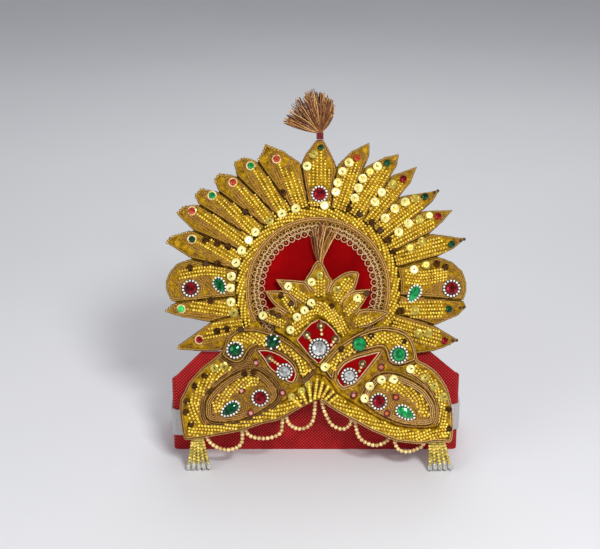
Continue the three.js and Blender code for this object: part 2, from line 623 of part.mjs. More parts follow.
// Round or drop-shaped outline: a drop narrows towards its turned end.
function stoneOutline({ at, half, turn }, grow) {
  const angle = THREE.MathUtils.degToRad(turn);
  const drop = half[0] > half[1];
  const points = [];
  for (let i = 0; i < STONE_SIDES; i += 1) {
    const around = (2 * Math.PI * i) / STONE_SIDES;
    const narrow = drop ? 1 - 0.35 * (1 + Math.cos(around)) * 0.5 : 1;
    const x = (half[0] + grow) * Math.cos(around);
    const y = (half[1] + grow) * Math.sin(around) * narrow;
    points.push([
      at[0] + x * Math.cos(angle) - y * Math.sin(angle),
      at[1] + x * Math.sin(angle) + y * Math.cos(angle),
    ]);
  }
  return points;
}

function addStones() {
  for (const stone of STONES) {
    const wide = stoneOutline(stone, stone.border);
    const inner = stone.half[1] / (stone.half[1] + stone.border);
    const layers = [
      { scale: 1, height: 0 },
      { scale: 1, height: SETTING_RISE },
      { scale: inner, height: SETTING_RISE },
      { scale: inner, height: SETTING_RISE + GIRDLE },
      { scale: inner * TABLE_SHARE, height: SETTING_RISE + GIRDLE + CROWN_RISE },
    ];
    addLeaning(`stone_${stone.name}`, stack(wide, layers, stone.seat, stone.at), stone.hue);
  }
}

// A loop of a bead string: it hangs straight down from the line between its ends, so the
// deeper it hangs the nearer it comes to the plane of the boards.
function swagPath(loop) {
  const start = loop[0];
  const end = loop.at(-1);
  const points = loop.map(([u, v]) => {
    const share = THREE.MathUtils.clamp((u - start[0]) / (end[0] - start[0]), 0, 1);
    const hung = THREE.MathUtils.lerp(start[1], end[1], share) - v;
    return new THREE.Vector3(u, v, HANG_W - hung * Math.tan(LEAN));
  });
  return new THREE.CatmullRomCurve3(points);
}

function addSwags() {
  const section = shapeOf(circle([0, 0], STRING_RADIUS, 8));
  for (const [side, loops] of Object.entries(SWAGS)) {
    const pieces = loops.map((loop) => new THREE.ExtrudeGeometry(section, {
      steps: 14, bevelEnabled: false, extrudePath: swagPath(loop),
    }));
    for (let i = 1; i < loops.length; i += 1) {
      const last = loops[i - 1].at(-1);
      const next = loops[i][0];
      const knot = new THREE.IcosahedronGeometry(STRING_RADIUS, 0);
      knot.translate((last[0] + next[0]) / 2, (last[1] + next[1]) / 2, HANG_W);
      pieces.push(knot);
    }
    addLeaning(`swag_${side}`, fuse(pieces), 'pearl');
  }
}

// A turned body along the way from one point to another.
function turned(profile, sides, from, to) {
  const length = from.distanceTo(to);
  const points = profile.map(({ radius, share }) => new THREE.Vector2(radius, share * length));
  const body = new THREE.LatheGeometry(points, sides);
  const along = new THREE.Vector3().subVectors(to, from).normalize();
  const turn = new THREE.Quaternion().setFromUnitVectors(new THREE.Vector3(0, 1, 0), along);
  return body.applyQuaternion(turn).translate(from.x, from.y, from.z);
}

function addEndTassels() {
  const mix = THREE.MathUtils.lerp;
  for (const { side, head, tips, v } of END_TASSELS) {
    const pieces = [];
    for (let i = 0; i < STRANDS; i += 1) {
      const share = i / (STRANDS - 1);
      const top = new THREE.Vector3(mix(...head, share), v, HANG_W).applyMatrix4(leanBack);
      const foot = new THREE.Vector3(mix(...tips, share), top.y, DROP_CLEAR);
      const knot = new THREE.Vector3().lerpVectors(top, foot, 1 - DROP_LENGTH / top.z);
      pieces.push(turned([
        { radius: 0, share: 0 }, { radius: STRAND_RADIUS, share: 0 },
        { radius: STRAND_RADIUS, share: 1.05 }, { radius: 0, share: 1.05 },
      ], 8, top, knot));
      pieces.push(turned([
        { radius: 0, share: 0 }, { radius: 0.8, share: 0 }, { radius: DROP_RADIUS, share: 0.55 },
        { radius: 1.7, share: 0.85 }, { radius: 0.9, share: 1 }, { radius: 0, share: 1 },
      ], 8, knot, foot));
    }
    const bar = new THREE.BoxGeometry(head[1] - head[0] + 2, 1.6, 2 * STRING_RADIUS);
    bar.translate((head[0] + head[1]) / 2, v, HANG_W).applyMatrix4(leanBack);
    add(`end_tassel_${side}`, fuse([bar, ...pieces]), 'pearl');
  }
}

function addBrushes() {
  for (const { name, root, w, stem, girth, tips } of BRUSHES) {
    const from = new THREE.Vector3(root[0], root[1] + 1.6, 0);
    const locks = tips.map(([u, v]) => turned([
      { radius: 0, share: 0 }, { radius: stem, share: 0 }, { radius: girth * 0.75, share: 0.45 },
      { radius: girth, share: 0.78 }, { radius: girth * 0.45, share: 1 }, { radius: 0, share: 1 },
    ], 6, from, new THREE.Vector3(u, v, 0)));
    const head = new THREE.CylinderGeometry(stem + 0.5, stem + 0.3, 3, 8);
    head.translate(root[0], root[1] + 1.5, 0);
    const brush = fuse([head, ...locks]).scale(1, 1, BRUSH_FLATNESS).translate(0, 0, w);
    addLeaning(name, brush, 'thread');
  }
  const tall = WRAP_HIGH - WRAP_LOW;
  const wrap = new THREE.CylinderGeometry(WRAP_RADIUS, WRAP_RADIUS, tall, 12);
  wrap.translate(BRUSHES[0].root[0], WRAP_LOW + tall / 2, BRUSHES[0].w);
  addLeaning('top_tassel_wrap', wrap, 'binding');
}

// Plan of a wall round three sides of a box, open at the back, with rounded front corners.
function wallPlan(front, back, outer, corner, thick) {
  const turnRound = (side, radius, from) => {
    const points = [];
    const steps = 5;
    for (let i = 0; i <= steps; i += 1) {
      const angle = from + (Math.PI / 2) * (i / steps);
      const x = side * (outer - corner) + radius * Math.cos(angle);
      points.push([x, front + corner + radius * Math.sin(angle)]);
    }
    return points;
  };
  const inner = corner - thick;
  const inside = [...turnRound(-1, inner, Math.PI), ...turnRound(1, inner, 1.5 * Math.PI)];
  return [
    [-outer, back],
    ...turnRound(-1, corner, Math.PI),
    ...turnRound(1, corner, 1.5 * Math.PI),
    [outer, back],
    [outer - thick, back],
    ...inside.reverse(),
    [-outer + thick, back],
  ];
}

function addBase() {
  const front = ((BASE_HEIGHT - CROWN_LIFT) * Math.sin(LEAN)) / Math.cos(LEAN) + GAP / Math.cos(LEAN);
  const back = front + BASE_DEPTH;
  const half = BASE_WIDTH / 2;
  const wall = slab(wallPlan(front, back, half, BASE_CORNER, BASE_WALL), 0, BASE_HEIGHT);

  // Front outline with its cut corners, drawn in x and z and pushed through the depth.
  const face = shapeOf([
    [-half - 1, -1], [half + 1, -1], [half + 1, BASE_HEIGHT - CUT_RIGHT],
    [half - CUT_IN, BASE_HEIGHT], [-half + CUT_IN, BASE_HEIGHT], [-half - 1, BASE_HEIGHT - CUT_LEFT],
  ]);
  const faceCut = new THREE.ExtrudeGeometry(face, { depth: 2 * BASE_DEPTH, bevelEnabled: false });
  faceCut.rotateX(Math.PI / 2).translate(0, front + 1.5 * BASE_DEPTH, 0);

  // Side outline, drawn in y and z: the side walls get lower towards the back.
  const sideOutline = shapeOf([
    [front - 1, -1], [back + 1, -1], [back + 1, SIDE_BACK],
    [front + BASE_CORNER, SIDE_FRONT], [front + BASE_CORNER, BASE_HEIGHT + 1],
    [front - 1, BASE_HEIGHT + 1],
  ]);
  const sideCut = new THREE.ExtrudeGeometry(sideOutline, { depth: BASE_WIDTH + 4, bevelEnabled: false });
  sideCut.rotateX(Math.PI / 2).rotateZ(Math.PI / 2).translate(-half - 2, 0, 0);

  const base = toBody(wall).intersect(toBody(faceCut)).intersect(toBody(sideCut));
  add('base_band', fromBody(base).translate(BASE_MIDDLE, 0, 0), 'base');

  const inside = half + GAP;
  const outer = inside + STRAP_THICK;
  const skin = GAP + STRAP_THICK;
  const corner = BASE_CORNER + skin;
  const sides = wallPlan(front - skin, back + 2, outer, corner, STRAP_THICK);
  const loop = slab(sides, 0, STRAP_WIDTH);
  const behind = new THREE.BoxGeometry(2 * outer, STRAP_THICK, STRAP_WIDTH);
  behind.translate(0, back + 2, STRAP_WIDTH / 2);
  const middleCut = new THREE.BoxGeometry(2 * (half - STRAP_TAB), 20, STRAP_WIDTH + 2);
  middleCut.translate(0, front, STRAP_WIDTH / 2);
  const strap = fromBody(toBody(loop).add(toBody(behind)).subtract(toBody(middleCut)));
  const rise = new THREE.Matrix4().makeShear(0, STRAP_RISE / BASE_WIDTH, 0, 0, 0, 0);
  strap.applyMatrix4(rise).translate(BASE_MIDDLE, 0, STRAP_MIDDLE - STRAP_WIDTH / 2);
  add('elastic_strap', strap, 'elastic');
}

addBase();
addHalo();
addRing();
addCrest();
addWings();
addStones();
addSwags();
addEndTassels();
addBrushes();

// The origin lies under the middle of the whole, on the table.
const box = new THREE.Box3().setFromObject(crown, true);
const centre = box.getCenter(new THREE.Vector3());
for (const mesh of crown.children) {
  mesh.geometry.translate(-centre.x, -centre.y, -box.min.z);
}

export default crown;
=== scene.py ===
"""A mukut crown in its finished cloth, beads and stones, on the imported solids."""
import math
import random

import bmesh
import bpy
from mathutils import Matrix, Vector
from mathutils.bvhtree import BVHTree


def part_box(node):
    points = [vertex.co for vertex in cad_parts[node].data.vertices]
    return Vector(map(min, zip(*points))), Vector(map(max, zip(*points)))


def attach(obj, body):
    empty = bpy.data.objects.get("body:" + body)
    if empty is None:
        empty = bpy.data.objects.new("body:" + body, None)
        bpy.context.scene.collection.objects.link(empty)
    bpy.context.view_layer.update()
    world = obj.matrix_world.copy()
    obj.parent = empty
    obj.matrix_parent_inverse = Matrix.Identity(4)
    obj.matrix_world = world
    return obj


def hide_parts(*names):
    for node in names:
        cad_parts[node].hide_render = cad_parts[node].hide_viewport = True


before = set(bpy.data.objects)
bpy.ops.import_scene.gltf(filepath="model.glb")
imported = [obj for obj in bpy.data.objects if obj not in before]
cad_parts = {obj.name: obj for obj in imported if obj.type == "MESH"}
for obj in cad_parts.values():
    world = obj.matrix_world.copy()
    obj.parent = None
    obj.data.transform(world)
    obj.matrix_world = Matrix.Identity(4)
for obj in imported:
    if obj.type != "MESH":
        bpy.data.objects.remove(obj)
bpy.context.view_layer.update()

# The crown's face: u runs right, v up along the face and w out towards the viewer, in millimetres.
MM = 0.001
LEAN = math.radians(22)
RIGHT = Vector((1, 0, 0))
UP = Vector((0, math.sin(LEAN), math.cos(LEAN)))
OUT = Vector((0, -math.cos(LEAN), math.sin(LEAN)))
RING_MIDDLE = (0, 141)
VELVET_MIDDLE_W = 3.95
velvet_low, velvet_high = (Vector(corner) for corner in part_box("velvet_disc"))
FACE_ORIGIN = (velvet_low + velvet_high) / 2 - (UP * RING_MIDDLE[1] + OUT * VELVET_MIDDLE_W) * MM
IN_FRONT_W = 60
SIDES = ("left", "right")

# Sizes of what is sewn on, in millimetres.
PEARL_RADIUS = 1.0
PEARL_PITCH = 2.15
COIL_RADIUS = 0.5
END_RADIUS = 0.45
SEQUIN_RADIUS = 3.5
CLAW_RADIUS = 0.92
SWAG_RADIUS = 1.7
STRAND_RADIUS = 1.3
LAY_STEP = 1.05
LONGEST_STEP = 3.5 * LAY_STEP

# How far beads and cords stand above what they lie on.
BEAD_LIFT = 0.5 * PEARL_RADIUS
COIL_LIFT = 0.35
EDGE_LIFT = 0.25
SHADE_LIFT = 0.1


def face(u, v, w):
    """A place on the crown's face, in metres in the row frame."""
    return FACE_ORIGIN + (RIGHT * u + UP * v + OUT * w) * MM


def face_uv(place):
    """The u and v of a place in the row frame."""
    offset = (place - FACE_ORIGIN) / MM
    return offset.dot(RIGHT), offset.dot(UP)


def ring_point(radius, degrees):
    """A place at an angle round the halo ring, as u and v."""
    angle = math.radians(degrees)
    return RING_MIDDLE[0] + radius * math.cos(angle), RING_MIDDLE[1] + radius * math.sin(angle)


def arc(middle, radius, start, end, count=24):
    """Points of an arc about a middle, from one angle to another."""
    turns = [math.radians(start + (end - start) * i / count) for i in range(count + 1)]
    return [(middle[0] + radius * math.cos(a), middle[1] + radius * math.sin(a)) for a in turns]


def turned(middle, x, y, angle):
    """A place at x and y from a middle, in axes turned by an angle."""
    return (
        middle[0] + x * math.cos(angle) - y * math.sin(angle),
        middle[1] + x * math.sin(angle) + y * math.cos(angle),
    )


def oval(middle, half, turn, count=40):
    """An oval about a middle, with its long half along the turn."""
    angle = math.radians(turn)
    return [turned(middle, u * half[0], v * half[1], angle) for u, v in arc((0, 0), 1, 0, 360, count)]


def left_of(along):
    """The direction square to another, on its left."""
    return Vector((-along.y, along.x))


def eased(path, closed=False, pieces=6):
    """A smooth path through a few drawn points."""
    count = len(path)
    spans = range(count if closed else count - 1)
    drawn = []
    for span in spans:
        if closed:
            a, b, c, d = (Vector(path[(span + k) % count]) for k in (-1, 0, 1, 2))
        else:
            a, b, c, d = (Vector(path[min(max(span + k, 0), count - 1)]) for k in (-1, 0, 1, 2))
        for step in range(pieces):
            t = step / pieces
            drawn.append(
                0.5 * (2 * b + (c - a) * t + (2 * a - 5 * b + 4 * c - d) * t**2
                       + (3 * b - a - 3 * c + d) * t**3)
            )
    if not closed:
        drawn.append(Vector(path[-1]))
    return [tuple(point) for point in drawn]


def stepped(path, step=LAY_STEP):
    """The same path in short even steps."""
    points = [Vector(point) for point in path]
    walked = [points[0]]
    for start, end in zip(points, points[1:]):
        parts = max(1, round((end - start).length / step))
        walked.extend(start.lerp(end, i / parts) for i in range(1, parts + 1))
    return walked


def beside(path, offset):
    """A path at a steady distance beside another, to its left where offset is positive."""
    points = [Vector(point) for point in path]
    moved = []
    for index, point in enumerate(points):
        before = points[max(index - 1, 0)]
        after = points[min(index + 1, len(points) - 1)]
        along = (after - before).normalized()
        moved.append((point.x - along.y * offset, point.y + along.x * offset))
    return moved


def evened(path, way, count):
    """The points of a path at even shares of its length, turned to run the given way."""
    points = stepped(path)
    if (points[-1] - points[0]).dot(Vector(way)) < 0:
        points.reverse()
    return [points[round((len(points) - 1) * index / count)] for index in range(count + 1)]


def slanting(first, last, way, turn, gap):
    """Strings across a band from its first side to its last. Each runs on by a turn, one from each gap."""
    count = round(sum((Vector(b) - Vector(a)).length for a, b in zip(first, first[1:])))
    first, last = evened(first, way, count), evened(last, way, count)
    strings = []
    start = -turn
    while start < count:
        steps = range(max(0, math.ceil(start)), min(count, math.floor(start + turn)) + 1)
        if len(steps) > 2:
            strings.append([first[step].lerp(last[step], (step - start) / turn) for step in steps])
        start += gap
    return strings


def ground_of(pieces):
    """A surface to lay beads and cords on, from finished pieces."""
    corners, faces = [], []
    for piece in pieces:
        first = len(corners)
        corners.extend(vertex.co.copy() for vertex in piece.data.vertices)
        faces.extend([first + i for i in polygon.vertices] for polygon in piece.data.polygons)
    return BVHTree.FromPolygons(corners, faces)


def ground_on(*nodes):
    """A surface to lay beads and cords on, from the pads of some solids."""
    return ground_of([pads[node] for node in nodes])


def touch(ground, u, v):
    """Where a line towards the crown's face first meets a surface, or None."""
    return ground.ray_cast(face(u, v, IN_FRONT_W), -OUT)[0]


def height(place):
    """How far a place stands out on the crown's face, in millimetres."""
    return (place - FACE_ORIGIN).dot(OUT) / MM


def perch(ground, u, v, reach=1.6):
    """The highest place of a surface close to a spot, for what lies across several things."""
    near = [(u, v), (u + reach, v), (u - reach, v), (u, v + reach), (u, v - reach)]
    found = [place for place in (touch(ground, *spot) for spot in near) if place is not None]
    return face(u, v, max(height(place) for place in found)) if found else None


def laid(ground, path, lift, least=0.0):
    """Lay a path on a surface, cut where it leaves it, drops over an edge or runs below least."""
    runs = [[]]
    for point in stepped(path):
        place = touch(ground, *point)
        if place is not None and height(place) < least:
            place = None
        broken = place is None or (runs[-1] and (runs[-1][-1] - place).length > LONGEST_STEP * MM)
        if broken and runs[-1]:
            runs.append([])
        if place is not None:
            runs[-1].append(place + OUT * lift * MM)
    return [run for run in runs if len(run) > 1]


def laid_all(ground, paths, lift, least=0.0):
    """Lay several paths on a surface."""
    return [run for path in paths for run in laid(ground, path, lift, least)]


def longest(paths):
    """The path with the most points."""
    return max(paths, key=len)


def parts_where(paths, holds):
    """The parts of paths where a test on the point holds."""
    kept = []
    for path in paths:
        part = []
        for point in path:
            if holds(point):
                part.append(point)
            elif part:
                kept.append(part)
                part = []
        kept.append(part)
    return [part for part in kept if len(part) > 1]


def beyond_middle(paths, clear):
    """The parts of paths that lie further than this from the crown's middle line."""
    return parts_where(paths, lambda point: abs(point[0]) > clear)


def add_node(tree, kind, values=None, **settings):
    """A node with its settings and the values of its unlinked inputs."""
    node = tree.nodes.new(kind)
    for key, value in settings.items():
        setattr(node, key, value)
    for key, value in (values or {}).items():
        node.inputs[key].default_value = value
    return node


def chain(tree, *nodes):
    """Link nodes one after another through their geometry."""
    for before, after in zip(nodes, nodes[1:]):
        leaving = next(s for s in before.outputs if s.type == "GEOMETRY")
        arriving = next(s for s in after.inputs if s.type == "GEOMETRY")
        tree.links.new(leaving, arriving)


def link(tree, *pairs):
    """Link sockets, each pair as a node and its output, then a node and its input."""
    for leaving, output, arriving, into in pairs:
        tree.links.new(leaving.outputs[output], arriving.inputs[into])


def new_growth(name, inputs):
    """An empty geometry tree with its named inputs, its way in and its way out."""
    tree = bpy.data.node_groups.new(name, "GeometryNodeTree")
    tree.interface.new_socket("Geometry", in_out="INPUT", socket_type="NodeSocketGeometry")
    for label, kind in inputs:
        tree.interface.new_socket(label, in_out="INPUT", socket_type="NodeSocket" + kind)
    tree.interface.new_socket("Geometry", in_out="OUTPUT", socket_type="NodeSocketGeometry")
    return tree, tree.nodes.new("NodeGroupInput"), tree.nodes.new("NodeGroupOutput")


def stored(tree, name, domain):
    """A node that keeps a value under a name."""
    kind = "GeometryNodeStoreNamedAttribute"
    return add_node(tree, kind, {"Name": name}, data_type="FLOAT", domain=domain)


def own_tone(tree, way_in, domain):
    """A node that gives each bead or cord a random tone of its own."""
    chance = add_node(tree, "FunctionNodeRandomValue", data_type="FLOAT")
    tone = stored(tree, "tone", domain)
    link(tree, (way_in, "Seed", chance, "Seed"))
    tree.links.new(next(s for s in chance.outputs if s.enabled), tone.inputs["Value"])
    return tone


def bead_growth():
    """Beads threaded at a pitch along paths. Each keeps a tone of its own."""
    tree, way_in, way_out = new_growth(
        "threaded beads",
        [("Radius", "Float"), ("Pitch", "Float"), ("Seed", "Int"), ("Finish", "Material")],
    )
    thread = add_node(tree, "GeometryNodeMeshToCurve")
    spaced = add_node(tree, "GeometryNodeResampleCurve", mode="LENGTH")
    bead = add_node(tree, "GeometryNodeMeshIcoSphere", {"Subdivisions": 2})
    placed = add_node(tree, "GeometryNodeInstanceOnPoints")
    tone = own_tone(tree, way_in, "INSTANCE")
    real = add_node(tree, "GeometryNodeRealizeInstances")
    smooth = add_node(tree, "GeometryNodeSetShadeSmooth")
    finish = add_node(tree, "GeometryNodeSetMaterial")
    chain(tree, way_in, thread, spaced, placed, tone, real, smooth, finish, way_out)
    link(
        tree,
        (bead, "Mesh", placed, "Instance"),
        (way_in, "Radius", bead, "Radius"),
        (way_in, "Pitch", spaced, "Length"),
        (way_in, "Finish", finish, "Material"),
    )
    return tree


def cord_growth():
    """Round cords along paths. Each point knows how far along its cord it is."""
    tree, way_in, way_out = new_growth(
        "twisted cords",
        [("Radius", "Float"), ("Sides", "Int"), ("Seed", "Int"), ("Finish", "Material")],
    )
    path = add_node(tree, "GeometryNodeMeshToCurve")
    tone = own_tone(tree, way_in, "CURVE")
    distance = add_node(tree, "GeometryNodeSplineParameter")
    along = stored(tree, "along", "POINT")
    section = add_node(tree, "GeometryNodeCurvePrimitiveCircle")
    tube = add_node(tree, "GeometryNodeCurveToMesh", {"Fill Caps": True})
    smooth = add_node(tree, "GeometryNodeSetShadeSmooth")
    real = add_node(tree, "GeometryNodeRealizeInstances")
    finish = add_node(tree, "GeometryNodeSetMaterial")
    chain(tree, way_in, path, tone, along, tube, smooth, real, finish, way_out)
    link(
        tree,
        (section, "Curve", tube, "Profile Curve"),
        (way_in, "Radius", section, "Radius"),
        (way_in, "Sides", section, "Resolution"),
        (distance, "Length", along, "Value"),
        (way_in, "Finish", finish, "Material"),
    )
    return tree


# A sequin's sides and depth, the shares of its radius in its flat middle and its eye, and the eye's place.
SEQUIN_SIDES, SEQUIN_DEPTH = 14, 0.5
FLAT_SHARE, EYE_SHARE = 0.66, 0.2
EYE_PLACE = (0.25, 0.2, 0.6)


def sequin_growth():
    """Dished sequins, each with a seed bead over its hole, at points that hold their own turn."""
    tree, way_in, way_out = new_growth(
        "sewn sequins",
        [("Radius", "Float"), ("Finish", "Material"), ("Eye Finish", "Material")],
    )
    dish = add_node(tree, "GeometryNodeMeshCone", {"Vertices": SEQUIN_SIDES, "Depth": SEQUIN_DEPTH * MM})
    middle = add_node(tree, "ShaderNodeMath", {1: FLAT_SHARE}, operation="MULTIPLY")
    eye_size = add_node(tree, "ShaderNodeMath", {1: EYE_SHARE}, operation="MULTIPLY")
    eye = add_node(tree, "GeometryNodeMeshIcoSphere", {"Subdivisions": 1})
    raised = add_node(tree, "GeometryNodeTransform", {"Translation": [part * MM for part in EYE_PLACE]})
    dish_finish = add_node(tree, "GeometryNodeSetMaterial")
    eye_finish = add_node(tree, "GeometryNodeSetMaterial")
    whole = add_node(tree, "GeometryNodeJoinGeometry")
    turn = add_node(tree, "GeometryNodeInputNamedAttribute", {"Name": "turn"}, data_type="FLOAT_VECTOR")
    placed = add_node(tree, "GeometryNodeInstanceOnPoints")
    real = add_node(tree, "GeometryNodeRealizeInstances")
    chain(tree, way_in, placed, real, way_out)
    chain(tree, dish, dish_finish, whole)
    chain(tree, eye, raised, eye_finish, whole)
    link(
        tree,
        (whole, "Geometry", placed, "Instance"),
        (turn, "Attribute", placed, "Rotation"),
        (way_in, "Radius", dish, "Radius Bottom"),
        (way_in, "Radius", middle, 0),
        (middle, 0, dish, "Radius Top"),
        (way_in, "Radius", eye_size, 0),
        (eye_size, 0, eye, "Radius"),
        (way_in, "Finish", dish_finish, "Material"),
        (way_in, "Eye Finish", eye_finish, "Material"),
    )
    return tree


def mesh_piece(name, mesh):
    """A new piece from a mesh that is already in place."""
    piece = bpy.data.objects.new(name, mesh)
    bpy.context.scene.collection.objects.link(piece)
    return piece


def built(name, work, *finishes):
    """The mesh of what was worked on, with its finishes."""
    mesh = bpy.data.meshes.new(name)
    work.to_mesh(mesh)
    work.free()
    for finish in finishes:
        mesh.materials.append(finish)
    return mesh


def grown(name, source, tree, values):
    """Run a tree on a source mesh and keep what it grows as a plain piece."""
    seedbed = mesh_piece(name + "_source", source)
    growth = seedbed.modifiers.new("growth", "NODES")
    growth.node_group = tree
    for item in tree.interface.items_tree:
        if item.in_out == "INPUT" and item.name in values:
            growth[item.identifier] = values[item.name]
    depsgraph = bpy.context.evaluated_depsgraph_get()
    mesh = bpy.data.meshes.new_from_object(seedbed.evaluated_get(depsgraph), depsgraph=depsgraph)
    seedbed.modifiers.remove(growth)
    bpy.data.objects.remove(seedbed)
    mesh.name = name
    return mesh_piece(name, mesh)


def path_mesh(name, runs, closed=False):
    """Paths as bare edges, ready to be threaded."""
    corners, edges = [], []
    for run in runs:
        first = len(corners)
        corners.extend(run)
        edges.extend((first + i, first + i + 1) for i in range(len(run) - 1))
        if closed:
            edges.append((len(corners) - 1, first))
    mesh = bpy.data.meshes.new(name + "_paths")
    mesh.from_pydata(corners, edges, [])
    return mesh


def sewn(piece, slot, *nodes):
    """Fix a piece to the crown, with the solids it stands for. The slot is not used."""
    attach(piece, "root")
    if nodes:
        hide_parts(*nodes)
    return piece


def interlocked(runs, row):
    """The runs of one row. Every second row starts a step later, so that it sits between its neighbours."""
    return [run[row % 2:] for run in runs if len(run) > 3]


def beads(
    name, runs, finish, nodes=(), slot="pearl_beads", radius=PEARL_RADIUS, pitch=PEARL_PITCH, closed=False
):
    """Rows of beads along paths."""
    values = {"Radius": radius * MM, "Pitch": pitch * MM, "Seed": len(runs), "Finish": finish}
    return sewn(grown(name, path_mesh(name, runs, closed), BEADS, values), slot, *nodes)


def cords(name, runs, finish, nodes=(), slot="copper_thread", radius=COIL_RADIUS, sides=6, closed=False):
    """Cords along paths."""
    values = {"Radius": radius * MM, "Sides": sides, "Seed": len(runs), "Finish": finish}
    return sewn(grown(name, path_mesh(name, runs, closed), CORDS, values), slot, *nodes)


BEADS = bead_growth()
CORDS = cord_growth()
SEQUINS = sequin_growth()
# How far the wave texture turns, in radians, for each unit of its scaled place.
WAVE_RATE = 20


class Finish:
    """A procedural material, with short ways to its colour and its relief."""

    def __init__(self, name, sockets):
        self.material = bpy.data.materials.new(name)
        self.material.use_nodes = True
        self.tree = self.material.node_tree
        self.shader = self.tree.nodes["Principled BSDF"]
        for socket, value in sockets.items():
            self.shader.inputs[socket].default_value = value
        self.place = self.node("ShaderNodeTexCoord").outputs["Object"]

    def node(self, kind, values=None, **settings):
        """A node of this material."""
        return add_node(self.tree, kind, values, **settings)

    def join(self, leaving, arriving):
        """Link two sockets."""
        self.tree.links.new(leaving, arriving)

    def noise(self, size, detail=3.0):
        """Soft blotches about this many millimetres across."""
        noise = self.node("ShaderNodeTexNoise", {"Scale": 1 / (size * MM), "Detail": detail})
        self.join(self.place, noise.inputs["Vector"])
        return noise.outputs["Fac"]

    def bands(self, pitch, direction):
        """Even bands at a pitch in millimetres."""
        scale = 2 * math.pi / (WAVE_RATE * pitch * MM)
        wave = self.node("ShaderNodeTexWave", {"Scale": scale}, bands_direction=direction)
        self.join(self.place, wave.inputs["Vector"])
        return wave.outputs["Fac"]

    def attribute(self, name):
        """A value that the mesh keeps under a name."""
        return self.node("ShaderNodeAttribute", attribute_name=name).outputs["Fac"]

    def math(self, operation, first, second):
        """A sum of two numbers or sockets. A third input keeps its own 0.5."""
        node = self.node("ShaderNodeMath", operation=operation)
        for socket, value in zip(node.inputs, (first, second)):
            if isinstance(value, (int, float)):
                socket.default_value = value
            else:
                self.join(value, socket)
        return node.outputs[0]

    def swing(self, angle):
        """A factor that swings between 0 and 1 as an angle grows."""
        return self.math("MULTIPLY_ADD", self.math("SINE", angle, 0), 0.5)

    def blend(self, first, share, second, other_share):
        """Two factors added, each by its share."""
        parts = ((first, share), (second, other_share))
        return self.math("ADD", *(self.math("MULTIPLY", *part) for part in parts))

    def colours(self, factor, stops):
        """Colour from a factor, by stops of (position, linear colour)."""
        ramp = self.node("ShaderNodeValToRGB")
        marks = ramp.color_ramp.elements
        while len(marks) < len(stops):
            marks.new(0.5)
        for mark, (position, colour) in zip(marks, stops):
            mark.position = position
            mark.color = (*colour, 1)
        self.join(factor, ramp.inputs["Fac"])
        self.join(ramp.outputs["Color"], self.shader.inputs["Base Color"])

    def relief(self, height, depth, strength=1.0):
        """Bump of about this many millimetres."""
        bump = self.node("ShaderNodeBump", {"Strength": strength, "Distance": depth * MM})
        self.join(height, bump.inputs["Height"])
        self.join(bump.outputs["Normal"], self.shader.inputs["Normal"])

    def gloss(self, factor, least, most):
        """Roughness that varies with a factor."""
        spread = self.node("ShaderNodeMapRange", {"To Min": least, "To Max": most})
        self.join(factor, spread.inputs["Value"])
        self.join(spread.outputs["Result"], self.shader.inputs["Roughness"])


def lacquer(metallic, coat, coat_roughness=0.03):
    """The sockets of a finish under a clear coat."""
    return {"Metallic": metallic, "Coat Weight": coat, "Coat Roughness": coat_roughness}


def gold_tissue():
    """Gold tissue cloth stretched over the pads: flat metal threads with soft creases."""
    finish = Finish("gold tissue", {"Metallic": 0.75, "Specular IOR Level": 0.1})
    weave = finish.math("MULTIPLY", finish.bands(0.55, "Z"), finish.bands(0.55, "X"))
    creases = finish.noise(4, detail=6.0)
    mixed = finish.blend(weave, 0.25, creases, 0.75)
    # Darker where the relief dips: painted shade in the creases and the weave, mixed with the cloth's own
    # uneven tone.
    finish.colours(
        mixed,
        [(0.27, (0.09, 0.04, 0.001)), (0.48, (0.36, 0.195, 0.006)), (0.68, (0.66, 0.41, 0.022))],
    )
    finish.gloss(creases, 0.3, 0.55)
    finish.relief(mixed, 0.5, 0.7)
    return finish.material


def threaded_bead(name, dark, light, sockets):
    """Round pearl beads that differ a little in tone."""
    finish = Finish(name, sockets)
    bright = [min(1, part * 1.25) for part in light]
    finish.colours(finish.attribute("tone"), [(0.0, dark), (0.55, light), (1.0, bright)])
    finish.gloss(finish.noise(1.5), 0.12, 0.34)
    return finish.material


def coiled_cord(name, shaded_groove, lit_ridge, pitch, metallic):
    """Coiled wire or twisted thread: fine turns all along the cord."""
    finish = Finish(name, {"Metallic": metallic, "Roughness": 0.36})
    rate = 2 * math.pi / (pitch * MM)
    turns = finish.swing(finish.math("MULTIPLY", finish.attribute("along"), rate))
    # The grooves between the turns are painted dark and the ridges pale: painted shade and painted highlight,
    # mixed with the thread's own blotchy tone.
    finish.colours(finish.blend(turns, 0.6, finish.noise(6), 0.5), [(0.0, shaded_groove), (0.85, lit_ridge)])
    finish.relief(turns, 0.3)
    return finish.material


def red_velvet():
    """Cut pile with a soft sheen and faint brushed patches."""
    finish = Finish(
        "red velvet",
        {
            "Roughness": 0.95,
            "Sheen Weight": 0.15,
            "Sheen Roughness": 0.45,
            "Sheen Tint": (1.0, 0.18, 0.16, 1.0),
            "Specular IOR Level": 0.05,
        },
    )
    pile = finish.noise(0.35, detail=2.0)
    mixed = finish.blend(pile, 0.4, finish.noise(16), 0.6)
    finish.colours(mixed, [(0.3, (0.155, 0.0, 0.0005)), (0.7, (0.33, 0.001, 0.002))])
    finish.relief(pile, 0.25, 0.5)
    return finish.material


